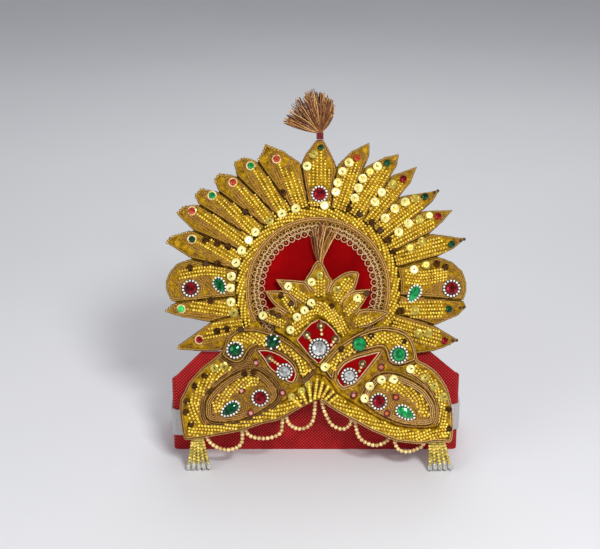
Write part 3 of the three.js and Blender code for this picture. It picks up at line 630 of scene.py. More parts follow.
def checked_cloth(name, dark, light, pitch):
    """Stiff cloth woven in a small diamond check that carries on round the corners."""
    finish = Finish(name, {"Specular IOR Level": 0.2})
    parts = finish.node("ShaderNodeSeparateXYZ")
    finish.join(finish.place, parts.inputs[0])
    around = finish.math("ADD", parts.outputs["X"], parts.outputs["Y"])
    rate = 2 * math.pi / (math.sqrt(2) * pitch * MM)
    lines = [
        finish.swing(finish.math("MULTIPLY", finish.math(operation, around, parts.outputs["Z"]), rate))
        for operation in ("ADD", "SUBTRACT")
    ]
    check = finish.math("MULTIPLY", *lines)
    finish.colours(finish.blend(check, 0.85, finish.noise(14), 0.3), [(0.12, dark), (0.7, light)])
    finish.gloss(check, 0.75, 0.5)
    finish.relief(check, 0.3, 0.6)
    return finish.material


def woven_elastic():
    """White elastic: rubber ribs along its length, crossed by fine yarns."""
    finish = Finish("white elastic", {"Roughness": 0.8, "Sheen Weight": 0.2})
    yarns = finish.math("MULTIPLY", finish.bands(0.7, "X"), finish.bands(0.7, "Y"))
    weave = finish.blend(finish.bands(1.1, "Z"), 0.7, yarns, 0.3)
    finish.colours(weave, [(0.1, (0.36, 0.35, 0.35)), (0.8, (0.66, 0.64, 0.64))])
    finish.relief(weave, 0.25, 0.6)
    return finish.material


def cut_stone(name, deep, bright, metallic, roughness):
    """Foil backed glass: deep between the facets, bright where the foil shows through."""
    finish = Finish(name, lacquer(metallic, 0.3))
    foil = finish.noise(2.6, detail=1.0)
    finish.colours(foil, [(0.36, deep), (0.66, bright)])
    finish.gloss(foil, roughness, roughness + 0.1)
    return finish.material


def plain_finish(name, dark, light, size, sockets, rough=(0.2, 0.35), depth=0.1):
    """A finish with soft blotches between two tones."""
    finish = Finish(name, sockets)
    blotch = finish.noise(size)
    finish.colours(blotch, [(0.35, dark), (0.65, light)])
    finish.gloss(blotch, *rough)
    finish.relief(blotch, depth, 0.5)
    return finish.material


def brush_thread(name, *tones):
    """Metal threads of a brush, each with its own tone, from the darkest to the palest."""
    finish = Finish(name, {"Metallic": 0.25, "Roughness": 0.4})
    streak = finish.blend(finish.attribute("tone"), 0.8, finish.noise(3), 0.25)
    finish.colours(streak, list(zip((0.1, 0.5, 0.75, 1.0), tones)))
    return finish.material


GOLD_TISSUE = gold_tissue()
PEARL = threaded_bead("gold pearl", (0.58, 0.33, 0.012), (0.92, 0.64, 0.065), lacquer(0.2, 0.5, 0.1))
SWAG_PEARL = threaded_bead("pale gold pearl", (0.6, 0.38, 0.13), (0.84, 0.6, 0.26), lacquer(0.3, 0.5, 0.12))
STRAND_BEAD = threaded_bead(
    "lime gold bead", (0.41, 0.31, 0.035), (0.74, 0.575, 0.11), lacquer(0.25, 0.6, 0.1)
)
OLD_GOLD_BEAD = threaded_bead("old gold bead", (0.2, 0.11, 0.01), (0.42, 0.26, 0.03), lacquer(0.5, 0.4))
CLAW_BEAD = threaded_bead("white claw bead", (0.72, 0.66, 0.58), (0.92, 0.88, 0.8), lacquer(0, 0.4))
PINK_BEAD = threaded_bead("pink bead", (0.7, 0.3, 0.22), (0.9, 0.52, 0.42), lacquer(0, 0.6))
ORANGE_BEAD = threaded_bead("orange bead", (0.6, 0.13, 0.015), (0.75, 0.2, 0.03), lacquer(0, 0.6))
# The darker coil: for the loose coil ends, and on the left wing as painted shade.
DARK_COIL = coiled_cord("dark copper coil", (0.07, 0.025, 0.004), (0.56, 0.28, 0.06), 1.2, 0.5)
COPPER_COIL = coiled_cord("copper coil", (0.12, 0.045, 0.006), (0.74, 0.39, 0.09), 1.2, 0.5)
TAN_CORD = coiled_cord("tan edge cord", (0.2, 0.08, 0.014), (0.94, 0.55, 0.17), 1.3, 0.45)
# Dark cords laid between the light ones are painted shade. The same dark cord also makes the stitches over
# the sequins and the knobs at the ray tips.
SHADE_CORD = coiled_cord("dark cord and painted shade", (0.02, 0.008, 0.001), (0.09, 0.038, 0.005), 1.3, 0.2)
LACE_CORD = coiled_cord("copper lace", (0.5, 0.21, 0.07), (1.0, 0.74, 0.44), 1.1, 0.2)
LACE_TAN = coiled_cord("tan lace", (0.38, 0.17, 0.025), (1.0, 0.68, 0.22), 1.1, 0.15)
GOLD_EDGE = coiled_cord("gold edge cord", (0.15, 0.07, 0.009), (0.68, 0.4, 0.07), 1.1, 0.5)
RED_BINDING = coiled_cord("red binding thread", (0.1, 0.002, 0.004), (0.3, 0.012, 0.014), 0.6, 0.0)
BRUSH_THREAD = brush_thread(
    "brush thread", (0.055, 0.013, 0.006), (0.2, 0.062, 0.016), (0.48, 0.2, 0.04), (1.0, 0.66, 0.26)
)
PALE_THREAD = brush_thread(
    "pale brush thread", (0.12, 0.04, 0.008), (0.5, 0.22, 0.04), (0.95, 0.58, 0.17), (1.0, 0.82, 0.45)
)
RED_VELVET = red_velvet()
BASE_CLOTH = checked_cloth("red base cloth", (0.14, 0.0, 0.001), (0.74, 0.026, 0.028), 1.9)
LINING_CLOTH = checked_cloth("red lining cloth", (0.17, 0.006, 0.01), (0.31, 0.014, 0.02), 0.9)
WHITE_ELASTIC = woven_elastic()
RUBY = cut_stone("ruby stone", (0.1, 0.0, 0.003), (0.5, 0.0, 0.01), 0.7, 0.08)
EMERALD = cut_stone("emerald stone", (0.0, 0.045, 0.012), (0.004, 0.3, 0.07), 0.7, 0.08)
# The stones on the left take a darker copy of the emerald and those on the right a paler one: painted shade
# and painted light.
SHADED_EMERALD = cut_stone("shaded emerald stone", (0.0, 0.02, 0.008), (0.002, 0.16, 0.045), 0.6, 0.06)
LIT_EMERALD = cut_stone("lit emerald stone", (0.0, 0.14, 0.035), (0.006, 0.44, 0.1), 0.3, 0.1)
CRYSTAL = cut_stone("crystal stone", (0.3, 0.31, 0.3), (0.95, 0.96, 0.94), 0.6, 0.05)
DARK_SEAT = plain_finish("dark stone seat", (0.025, 0.014, 0.008), (0.07, 0.04, 0.02), 2, {"Metallic": 0.5})
BRIGHT_SEQUIN = plain_finish(
    "cream sequin", (0.74, 0.63, 0.14), (0.98, 0.93, 0.46), 3, lacquer(0.1, 0.25), (0.22, 0.4)
)
DIM_SEQUIN = plain_finish(
    "dull gold sequin", (0.3, 0.21, 0.02), (0.62, 0.5, 0.08), 3, lacquer(0.4, 0.15), (0.28, 0.42)
)
# Dark sequins: their own brown, painted darker still for the dark that they reflect.
DARK_SEQUIN = plain_finish(
    "brown sequin with painted dark reflection", (0.014, 0.005, 0.0), (0.1, 0.036, 0.003), 2, {"Specular IOR Level": 0.08}, (0.3, 0.5)
)
CLEAR_SEQUIN = plain_finish(
    "smoky sequin", (0.04, 0.014, 0.003), (0.15, 0.075, 0.012), 2, lacquer(0.3, 0.3), (0.25, 0.4)
)
GARNET_PLATE = plain_finish(
    "garnet plate", (0.05, 0.004, 0.003), (0.2, 0.012, 0.008), 2, {"Metallic": 0.3}, (0.3, 0.5)
)
GEM_PLATE = plain_finish(
    "cream gem plate", (0.78, 0.5, 0.2), (0.95, 0.75, 0.42), 4, lacquer(0.1, 0.4), (0.2, 0.3)
)
# The lace's net ground is painted dark for the shade that shows through the holes between the loops.
SHADED_LACE_NET = plain_finish(
    "lace net", (0.04, 0.012, 0.003), (0.2, 0.07, 0.015), 1.2, {"Specular IOR Level": 0.05}, (0.5, 0.7), 0.4
)
CLEAR_DROP = plain_finish(
    "clear drop", (0.42, 0.42, 0.36), (1.0, 0.99, 0.94), 1.3,
    {"Transmission Weight": 0.4, "IOR": 1.49}, (0.04, 0.12), 0.3,
)
# Two corners nearer than this are one, and a face this square to the crown is flat.
WELD = 0.001
FLAT = 0.95


def welded(node):
    """A solid's mesh with its loose triangles joined, to work on."""
    work = bmesh.new()
    work.from_mesh(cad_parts[node].data)
    bmesh.ops.remove_doubles(work, verts=work.verts, dist=WELD * MM)
    return work


def merged_copy(node):
    """A solid's mesh with its loose triangles joined, free to change."""
    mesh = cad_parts[node].data.copy()
    work = welded(node)
    work.to_mesh(mesh)
    work.free()
    mesh.materials.clear()
    return mesh


def outline_of(node):
    """The outline of a solid's flat back, as a closed run of u and v with the inside on its left."""
    work = welded(node)
    work.normal_update()
    beyond = {}
    for edge in work.edges:
        if sum(side.normal.dot(OUT) < -FLAT for side in edge.link_faces) == 1:
            for corner in edge.verts:
                beyond.setdefault(corner, []).append(edge.other_vert(corner))
    loops = []
    while beyond:
        corner = next(iter(beyond))
        loop = []
        while corner in beyond:
            loop.append(face_uv(corner.co))
            onward = [other for other in beyond.pop(corner) if other in beyond]
            corner = onward[0] if onward else None
        area = sum(a[0] * b[1] - b[0] * a[1] for a, b in zip(loop, loop[1:] + loop[:1]))
        loops.append(loop if area > 0 else loop[::-1])
    work.free()
    return longest(loops)


def inside(loop, distance, smooth=True, toward=None, least=0.3):
    """Paths a steady distance inside an outline, all round it or only along its sides that face one way."""
    ring = eased(loop, closed=True, pieces=4) if smooth else [tuple(point) for point in loop]
    even = stepped(ring + ring[:1])[:-1]
    count = len(even)
    runs = [[]]
    for index in range(count + 1):
        point = even[index % count]
        along = (even[(index + 3) % count] - even[(index - 3) % count]).normalized()
        if toward and along.y * toward[0] - along.x * toward[1] < least:
            if runs[-1]:
                runs.append([])
            continue
        runs[-1].append((point.x - along.y * distance, point.y + along.x * distance))
    if toward and len(runs) > 1 and runs[0] and runs[-1]:
        runs[0] = runs.pop() + runs[0]
    return [run for run in runs if len(run) > 1]


def band(loop, depths, toward, least, holds=lambda point: True):
    """The two sides of a band inside an outline, each in its longest part where a test on the point holds."""
    sides = (inside(loop, depth, toward=toward, least=least) for depth in depths)
    return [longest(parts_where(side, holds)) for side in sides]


def settled(piece):
    """Apply a piece's modifiers to its mesh."""
    depsgraph = bpy.context.evaluated_depsgraph_get()
    mesh = bpy.data.meshes.new_from_object(piece.evaluated_get(depsgraph), depsgraph=depsgraph)
    piece.modifiers.clear()
    piece.data = mesh
    return mesh


def soft_pad(node, finish, slot, voxel=1.0, rounds=5, backing=None):
    """A stuffed cloth pad over a solid: an even skin, eased round its edges."""
    mesh = merged_copy(node)
    mesh.materials.append(finish)
    piece = mesh_piece(node + "_pad", mesh)
    skin = piece.modifiers.new("skin", "REMESH")
    skin.mode = "VOXEL"
    skin.voxel_size = voxel * MM
    ease = piece.modifiers.new("ease", "SMOOTH")
    ease.factor = 0.5
    ease.iterations = rounds
    mesh = settled(piece)
    mesh.shade_smooth()
    if backing:
        mesh.materials.append(backing)
        for polygon in mesh.polygons:
            polygon.material_index = int(polygon.normal.dot(OUT) < -0.5)
    sewn(piece, slot, node)
    return piece


def cloth_board(node, finish, slot, bevel, front=None):
    """A stiff cloth covered board: its own flat shape with turned, rounded edges."""
    mesh = merged_copy(node)
    mesh.materials.append(finish)
    if front:
        mesh.materials.append(front)
        for polygon in mesh.polygons:
            polygon.material_index = int(polygon.normal.dot(OUT) > -0.5)
    piece = mesh_piece(node + "_cloth", mesh)
    edge = piece.modifiers.new("turned edge", "BEVEL")
    edge.width = bevel * MM
    edge.segments = 3
    edge.limit_method = "ANGLE"
    edge.angle_limit = math.radians(40)
    settled(piece).shade_smooth()
    return sewn(piece, slot, node)


RAY_NAMES = [f"ray_{side}_{number}" for side in SIDES for number in range(1, 9)]
HALO_PADS = RAY_NAMES + ["lobe_left", "lobe_right", "spade_leaf", "halo_ring"]
CREST_PADS = ("crest_board", "crest_arch", "crest_velvet")
WING_PARTS = ("board", "lobe", "paisley", "velvet")
pads = {}
for node in HALO_PADS:
    pads[node] = soft_pad(node, GOLD_TISSUE, "gold_beadwork")
for node in CREST_PADS[:2]:
    pads[node] = soft_pad(node, GOLD_TISSUE, "gold_beadwork", voxel=0.9, rounds=3)
for side in SIDES:
    node = f"wing_{side}_board"
    pads[node] = soft_pad(node, GOLD_TISSUE, "gold_beadwork", rounds=3, backing=LINING_CLOTH)
    for node in (f"wing_{side}_lobe", f"wing_{side}_paisley"):
        pads[node] = soft_pad(node, GOLD_TISSUE, "gold_beadwork")
for node in ("velvet_disc", "crest_velvet", "wing_left_velvet", "wing_right_velvet"):
    pads[node] = soft_pad(node, RED_VELVET, "red_velvet", voxel=0.9, rounds=4)
cloth_board("base_band", BASE_CLOTH, "red_base_cloth", 0.8)
cloth_board("elastic_strap", WHITE_ELASTIC, "white_elastic", 0.3)
cloth_board("halo_board", LINING_CLOTH, "red_lining", 0.6, front=GOLD_TISSUE)

ROW_PITCH = 2.85
COIL_PITCH = 2.1
RING_EDGE = 65.2
HALO_ARC = (-27, 207)
chance = random.Random(7)

# Each ray: its gem's place and finish, the angle on the ring that its bead rows run to, how many rows it has,
# how far the first row starts from the gem, how much later each next row starts, and the coils on each side.
# The rows of a left ray stand to one side of the row that starts at the gem, and a right ray's on both.
RAYS = [
    ("ray_left_1", (-32.3, 242.7), "fire", 101.5, 4, 3.0, 6.0, (2, 3)),
    ("ray_left_2", (-52.5, 237.3), "leaf", 113.5, 4, 3.0, 6.0, (2, 3)),
    ("ray_left_3", (-66.3, 224.5), "fire", 124, 4, 3.0, 5.5, (2, 3)),
    ("ray_left_4", (-82.6, 214.2), "leaf", 136, 5, 3.0, 6.0, (1, 3)),
    ("ray_left_5", (-98.3, 202.2), "fire", 147, 4, 3.0, 6.5, (1, 3)),
    ("ray_left_6", (-98.3, 180.0), "bottle", 160, 4, 3.0, 5.5, (1, 3)),
    ("ray_left_7", (-106.8, 125.6), "bright", 195, 4, 5.0, 2.0, (1, 3)),
    ("ray_left_8", (-92.6, 101.7), "wine", 206, 4, 2.6, 3.6, (1, 2)),
    ("ray_right_1", (30.4, 243.5), "fire", 75, 4, 2.2, 2.4, (2, 1)),
    ("ray_right_2", (53.9, 239.4), "bottle", 64, 5, 2.2, 2.4, (2, 1)),
    ("ray_right_3", (66.7, 227.0), "wine", 54, 4, 2.2, 2.4, (2, 1)),
    ("ray_right_4", (83.4, 213.4), "bottle", 43.4, 5, 2.2, 2.4, (2, 1)),
    ("ray_right_5", (93.5, 198.1), "wine", 33.6, 5, 2.2, 2.4, (2, 1)),
    ("ray_right_6", (104.2, 176.2), "bottle", 21.5, 6, 2.2, 2.4, (2, 1)),
    ("ray_right_7", (102.1, 125.6), "bottle", 345.5, 5, 2.6, 1.8, (1, 3)),
    ("ray_right_8", (98.8, 100.8), "wine", 334, 5, 2.6, 1.8, (1, 2)),
]
DARK_TIPS = ("ray_right_4", "ray_right_6", "ray_right_7", "ray_right_8")
GEM_FINISHES = {
    "fire": (cut_stone("fire red gem", (0.36, 0.02, 0.005), (0.78, 0.09, 0.02), 0.3, 0.06), "ruby_stone"),
    "wine": (RUBY, "ruby_stone"),
}
for hue, deep, bright, metallic, roughness in (
    ("leaf", (0.0, 0.16, 0.03), (0.01, 0.5, 0.1), 0.3, 0.06),
    ("bottle", (0.0, 0.018, 0.008), (0.002, 0.11, 0.03), 0.5, 0.05),
    ("bright", (0.02, 0.5, 0.08), (0.12, 0.9, 0.22), 0.0, 0.06),
):
    GEM_FINISHES[hue] = (cut_stone(f"{hue} green gem", deep, bright, metallic, roughness), "emerald_stone")
# How far a sequin may lie askew, in degrees.
ASKEW = 11
# The stitch over a sequin: its way from the clockwise one, in degrees, its rise and its points from the eye.
STITCH_TURN = (-50, 5)
STITCH_RISE = 0.45
STITCH_STEPS = (0, 0.9, 1.7)
# A small gem's profile: share of its radius, rise in radii and turn in degrees.
GEM_RINGS = [(1.0, 0.0, 0), (1.0, 0.25, 0), (0.74, 0.55, 22.5), (0.4, 0.72, 0)]
GEM_SIDES = 8
# A loose end of coil: its steps, their length, and the rate and swing of its waves.
END_STEPS, END_STEP, END_RATE, END_SWING = 9, 0.7, 1.3, 0.9
# A ray's coils: how far above the gem they start, their gap from the rows, and how they close in below.
COIL_START, COIL_GAP, COIL_CLOSING = 4, 0.2, 0.9


def sequins(name, spots, ground, finish, lift=1.5, radius=SEQUIN_RADIUS, eye=DARK_SEAT):
    """Sequins at drawn places, each a little askew."""
    places, turns = [], []
    square = OUT.to_track_quat("Z", "Y").to_euler()
    for u, v in spots:
        place = perch(ground, u, v)
        if place is not None:
            places.append(place + OUT * lift * MM)
            turns.append([angle + math.radians(chance.uniform(-ASKEW, ASKEW)) for angle in square])
    mesh = bpy.data.meshes.new(name + "_spots")
    mesh.from_pydata(places, [], [])
    attribute = mesh.attributes.new("turn", "FLOAT_VECTOR", "POINT")
    attribute.data.foreach_set("vector", [angle for turn in turns for angle in turn])
    values = {"Radius": radius * MM, "Finish": finish, "Eye Finish": eye}
    return sewn(grown(name, mesh, SEQUINS, values), "gold_beadwork")


def stitches(name, spots, ground, lift):
    """The dark stitch over each bright sequin, from its eye towards its rim."""
    runs = []
    for u, v in spots:
        eye = perch(ground, u, v)
        if eye is not None:
            away = Vector((u, v)) - Vector(RING_MIDDLE)
            clockwise = math.atan2(-away.x, away.y) + math.pi
            turn = clockwise + math.radians(chance.uniform(*STITCH_TURN))
            reach = RIGHT * math.cos(turn) + UP * math.sin(turn)
            runs.append([eye + (reach * step + OUT * (lift + STITCH_RISE)) * MM for step in STITCH_STEPS])
    return cords(name, runs, SHADE_CORD, radius=0.38, sides=5)


def skin_band(work, lower, upper):
    """Close the band between two rings."""
    for index in range(len(lower)):
        after = (index + 1) % len(lower)
        work.faces.new((lower[index], lower[after], upper[after], upper[index]))


def skin_rings(work, rings):
    """Close a stack of rings into one solid: a floor, bands and a lid."""
    for lower, upper in zip(rings, rings[1:]):
        skin_band(work, lower, upper)
    work.faces.new(rings[0][::-1])
    work.faces.new(rings[-1])


def gems(name, spots, ground, finish, slot, radius, lift):
    """Small domed gems with eight flats round a table."""
    work = bmesh.new()
    for u, v in spots:
        seat = perch(ground, u, v) + OUT * lift * MM
        skin_rings(work, [
            [
                work.verts.new(seat + (RIGHT * x + UP * y) * MM + OUT * rise * radius * MM)
                for x, y in arc((0, 0), radius * share, turn, turn + 360, GEM_SIDES)[:-1]
            ]
            for share, rise, turn in GEM_RINGS
        ])
    return sewn(mesh_piece(name, built(name, work, finish)), slot)


def strewn(ground, spots, amount, reach, least=0.0):
    """Short wavy ends of coil about each spot, each lying its own way."""
    runs = []
    for spot in spots:
        for _ in range(amount):
            turn = chance.uniform(0, 2 * math.pi)
            along = Vector((math.cos(turn), math.sin(turn)))
            across = left_of(along)
            start = Vector(spot) + Vector((chance.uniform(-reach, reach), chance.uniform(-reach, reach)))
            path = [
                start + along * step * END_STEP + across * math.sin(step * END_RATE) * END_SWING
                for step in range(END_STEPS)
            ]
            runs += laid(ground, path, EDGE_LIFT, least)
    return runs


def coil_ends(name, runs):
    """Loose ends of dark coil."""
    cords(name, runs, DARK_COIL, radius=END_RADIUS, sides=5)


def dress_rays():
    """Bead rows, coils, edge cords and gems of the rays."""
    rows = {side: [] for side in SIDES}
    coils, edges, tips, knobs, ends = [], [], [], [], []
    spots = {}
    for name, gem, hue, root, count, start, later, sides in RAYS:
        side = name.split("_")[1]
        ground = ground_on(name)
        edge = outline_of(name)
        head = Vector(gem)
        foot = Vector(ring_point(RING_EDGE, root))
        along = (foot - head).normalized()
        across = left_of(along)
        half = (count - 1) / 2
        for row in range(count):
            place = row - half
            aside = row if side == "left" else place
            begin = head + along * (start + later * abs(aside)) + across * aside * ROW_PITCH
            path = [begin, foot + across * place * ROW_PITCH]
            rows[side] += interlocked(laid(ground, path, BEAD_LIFT), row)
        for way, amount in zip((1, -1), sides):
            for number in range(amount):
                shift = way * (count / 2 * ROW_PITCH + COIL_GAP + number * COIL_PITCH)
                spread = shift + half * ROW_PITCH if side == "left" else shift
                begin = head - along * (COIL_START - number) + across * spread
                coils += laid(ground, [begin, foot + across * shift * COIL_CLOSING], lift=0.3)
        below, wide = head + along * 9, across * 6
        bare = [head - along * 6, head - along * 2, below + wide, below - wide]
        ends += strewn(ground, bare, amount=4, reach=3)
        edges += laid_all(ground, inside(edge, 1.3, smooth=False), lift=0.2)
        if side == "left":
            outer = inside(edge, 0.8, smooth=False, toward=tuple(-along), least=0.55)
            tips += laid_all(ground, outer, lift=0.1)
        if name in DARK_TIPS:
            tip = max((Vector(point) for point in edge), key=lambda point: (point - foot).length)
            back = (head - tip).normalized()
            knobs += laid(ground, [tip + back * 2.0, tip + back * 5.0], lift=0.6)
        spots.setdefault(hue, []).append(gem)
    for side, runs in rows.items():
        beads(f"ray_{side}_beads", runs, PEARL)
    beads("ray_tip_knots", tips, OLD_GOLD_BEAD, radius=1.2, pitch=2.5)
    beads("ray_tip_knobs", knobs, SHADE_CORD, slot="copper_thread", radius=1.3, pitch=1.8)
    cords("ray_coils", coils, COPPER_COIL)
    coil_ends("ray_coil_ends", ends)
    cords("ray_edges", edges, GOLD_EDGE, radius=0.6)
    halo = ground_on(*RAY_NAMES)
    plates = [ray[1] for ray in RAYS if "left" in ray[0]]
    sequins("ray_gem_plates", plates, halo, GEM_PLATE, lift=0.6, radius=3.7)
    for hue, places in spots.items():
        gems(f"ray_gems_{hue}", places, halo, *GEM_FINISHES[hue], radius=2.75, lift=1.2)


# The top leaf's bead columns: where the first stands, their pitch, foot and tops. Then the rows below.
SPADE_FIRST, SPADE_PITCH, SPADE_FOOT = -6.8, 3.1, 223
SPADE_TOPS = (230.5, 241, 246, 249, 241, 235)
SPADE_ROWS, SPADE_ROW_ENDS = (208.6, 206.6), (-9, 11)
SPADE_BARE = [(-7, 246), (8.5, 244), (-8.5, 214), (10, 212), (1.5, 256)]


def dress_spade():
    """The top leaf: bead columns over the ruby, rows under it, and its edge cords."""
    ground = ground_on("spade_leaf")
    rows = []
    for column, top in enumerate(SPADE_TOPS):
        u = SPADE_FIRST + column * SPADE_PITCH
        rows += interlocked(laid(ground, [(u, top), (u, SPADE_FOOT)], BEAD_LIFT), column)
    for row, v in enumerate(SPADE_ROWS):
        rows += interlocked(laid(ground, [(u, v) for u in SPADE_ROW_ENDS], BEAD_LIFT), row)
    beads("spade_beads", rows, PEARL)
    edge = outline_of("spade_leaf")
    edges = [run for depth in (1.3, 2.8) for run in laid_all(ground, inside(edge, depth), EDGE_LIFT)]
    cords("spade_edges", edges, COPPER_COIL, radius=0.55)
    coil_ends("spade_coil_ends", strewn(ground, SPADE_BARE, amount=4, reach=2.5))
    gems("spade_gem", [(2.2, 251.7)], ground, *GEM_FINISHES["bottle"], radius=2.4, lift=1.0)


LOBE_ROWS = {
    "left": [((-108, 149.4 + 2.8 * i), (-98, 151.4 + 2.8 * i), (-86, 152.8 + 2.7 * i), (-73, 151.5 + 2.6 * i))
             for i in range(3)],
    "right": [((69, 146.2 + 2.4 * i), (80, 144.8 + 2.4 * i), (90, 146.4 + 2.3 * i), (100, 148.4 + 2.2 * i))
              for i in range(5)],
}
LOBE_RUBY = {"left": (-99.3, 141.7), "right": (104.2, 141.7)}
LOBE_SWEEPS = {
    "left": [(-91, 147), (-86, 144), (-80, 138), (-75, 133.5)],
    "right": [(96, 147), (91, 142), (86, 139), (80, 133)],
}
LOBE_BARE = {
    "left": [(-111, 150), (-109, 138), (-88, 135), (-86, 145), (-104, 157)],
    "right": [(111, 149), (112, 136), (92, 140), (95, 134), (103, 156)],
}


def dress_lobes():
    """The side lobes: bead rows along the top, coils round the stones and along the edge."""
    rows, coils, edges, ends = [], [], [], []
    for side in SIDES:
        ground = ground_on(f"lobe_{side}")
        edge = outline_of(f"lobe_{side}")
        for number, row in enumerate(LOBE_ROWS[side]):
            rows += interlocked(laid(ground, eased(row), BEAD_LIFT), number)
        for radius in (8.3, 9.7):
            coils += laid(ground, arc(LOBE_RUBY[side], radius, 0, 360, 40), COIL_LIFT)
        for shift in range(4):
            coils += laid(ground, beside(eased(LOBE_SWEEPS[side]), shift * COIL_PITCH - 2), COIL_LIFT)
        ends += strewn(ground, LOBE_BARE[side], amount=5, reach=4)
        for depth in (1.3, 2.8):
            edges += laid_all(ground, inside(edge, depth, smooth=False), EDGE_LIFT)
    beads("lobe_beads", rows, PEARL)
    coil_ends("lobe_coil_ends", ends)
    cords("lobe_coils", coils, COPPER_COIL)
    cords("lobe_edges", edges, GOLD_EDGE, radius=0.65)


# Radii on the ring: of the two sides of its bead strings, of its cords, and of the dark cords of painted
# shade between them.
RING_STRINGS, RING_COILS, RING_SHADES = (64.8, 57.2), (54.6, 56.0), (53.9, 55.3)
# The curled cord: its radius, swing and waves in a whole round.
CURL_RADIUS, CURL_SWING, CURL_WAVES = 53.2, 0.9, 52


def halo_arcs(radii):
    """Arcs of the ring as far as it shows."""
    return [arc(RING_MIDDLE, radius, *HALO_ARC, 120) for radius in radii]


def dress_ring():
    """The ring: copper cords on its inner side, and bead strings that slant in across its outer side."""
    ground = ground_on("halo_ring")
    coils = laid_all(ground, halo_arcs(RING_COILS), COIL_LIFT)
    shades = laid_all(ground, halo_arcs(RING_SHADES), SHADE_LIFT)
    curls = []
    for phase in (0, 180):
        wave = []
        for degrees in range(HALO_ARC[0], HALO_ARC[1] + 1):
            swing = CURL_SWING * math.sin(math.radians(CURL_WAVES * degrees + phase))
            wave.append(ring_point(CURL_RADIUS + swing, degrees))
        curls += laid(ground, wave, lift=0.3)
    strings = slanting(*halo_arcs(RING_STRINGS), (1, 0), turn=27, gap=9.95)
    cords("ring_coils", coils, TAN_CORD, radius=0.55)
    cords("ring_curls", curls, COPPER_COIL, radius=0.36, sides=5)
    cords("ring_shades", shades, SHADE_CORD, radius=0.45, sides=4)
    beads("ring_beads", laid_all(ground, strings, BEAD_LIFT), PEARL, radius=1.08, pitch=2.25)


LACE_W = 5.9
# The net ground, painted dark for the shade in the lace's holes: its inner and outer radius, its low and high
# side and its facets.
LACE_GROUND = (44.6, 51.8, 4.95, 5.5)
LACE_FACETS = 144
# Rows of loops in the lace: radius of the row and of a loop, and how far each is shifted.
LACE_LOOPS = [(44.1, 2.4, 0), (48.1, 1.9, 0.5), (50.9, 1.7, 0)]
LOOP_FACETS = 14
# How much every second loop stands higher, the share that a knot spans, and the lift of knots and waves.
LOOP_RISE, KNOT_SHARE, KNOT_LIFT, WAVE_LIFT = 0.3, 0.3, 0.2, 0.5
# Wavy cords on the lace: radius and swing.
LACE_WAVES = [(46.5, 0.7), (49.6, 0.8)]
LACE_COUNT = 52
LACE_STEPS = 8 * LACE_COUNT


def dress_lace():
    """The gimp lace: a narrow net ground with rows of knotted loops and two wavy cords on it."""
    work = bmesh.new()
    inner, outer, low, high = LACE_GROUND
    rings = [
        [work.verts.new(face(u, v, w)) for u, v in arc(RING_MIDDLE, radius, 0, 360, LACE_FACETS)[:-1]]
        for radius, w in ((outer, low), (outer, high), (inner, high), (inner, low))
    ]
    for lower, upper in zip(rings, rings[1:] + rings[:1]):
        skin_band(work, lower, upper)
    sewn(mesh_piece("lace_ground", built("lace_ground", work, SHADED_LACE_NET)), "copper_lace")
    # The inner loops and the wavy cords take the pale lace cord and the outer rows the darker tan one:
    # painted highlight and painted shade across the lace.
    pale, dark, knots = [], [], []
    for row, (radius, size, lag) in enumerate(LACE_LOOPS):
        for loop in range(LACE_COUNT):
            degrees = (loop + lag) * 360 / LACE_COUNT
            rise = LACE_W + LOOP_RISE * (loop % 2)
            circle = arc(ring_point(radius, degrees), size, 0, 360, LOOP_FACETS)[:-1]
            (dark if row else pale).append([face(u, v, rise) for u, v in circle])
            ends = (radius - KNOT_SHARE * size, radius + KNOT_SHARE * size)
            knots.append([face(*ring_point(end, degrees), rise + KNOT_LIFT) for end in ends])
    for radius, swing in LACE_WAVES:
        path = []
        for step in range(LACE_STEPS):
            degrees = step * 360 / LACE_STEPS
            reach = radius + swing * math.sin(math.radians(degrees * LACE_COUNT))
            path.append(face(*ring_point(reach, degrees), LACE_W + WAVE_LIFT))
        pale.append(path)
    cords("lace_loops", pale, LACE_CORD, ["lace_trim"], "copper_lace", radius=0.36, sides=5, closed=True)
    cords("lace_outer_loops", dark, LACE_TAN, slot="copper_lace", radius=0.34, sides=5, closed=True)
    cords("lace_knots", knots, COPPER_COIL, slot="copper_lace", radius=0.45, sides=5)


BRIGHT_SPOTS = [
    (-17.4, 203.9), (-28.1, 199.8), (-48.8, 185.7), (-54.1, 179.5), (-59.5, 171.3), (-64, 161.8),
    (-67.6, 151.1), (-68.4, 142), (-68, 131), (5.2, 206.4), (-8.5, 237), (24.2, 239.8), (19.2, 232.8),
    (15.5, 224.1), (13.9, 217.1), (46.5, 236.9), (34.9, 227.4), (31.6, 220), (28.7, 212.1), (49.8, 216.7),
    (44.4, 209.2), (67.9, 209.2), (60, 203.9), (52.3, 196.5), (70.4, 192.3), (63, 185.7), (74.9, 156.4),
]
DIM_SPOTS = [
    (-38, 194.4), (-3.4, 246.4), (40.7, 232.8), (58, 222.9), (75.7, 212.1), (81.1, 178.3), (84.4, 160.1),
    (-66, 122.5), (75.5, 124.5), (86.9, 198.5), (79.5, 195.6), (72, 173.4), (78, 106.5), (86, 106.8),
]
DARK_SPOTS = [
    (23.8, 204.7), (32.8, 199.8), (42.3, 193.2), (48.9, 187.4), (55.1, 179.5), (59.7, 170.5),
    (-87.5, 179.5), (-78.5, 177), (-70.2, 174.2), (-27.3, 216.3), (-57, 201.4), (-83.7, 132.2),
    (-78.7, 108.3), (-99.9, 157.7), (-87.5, 161), (-78.5, 161), (92.7, 161), (99.3, 158.1), (-71, 110),
    (65, 124),
]
# Beads from a sequin's eye: how far each lies towards the ring and how high it stands.
THROUGH_STEPS, THROUGH_LIFTS = (0, 2.1, 4.2, 6.3), (2.4, 2.3, 1.9, 1.4)


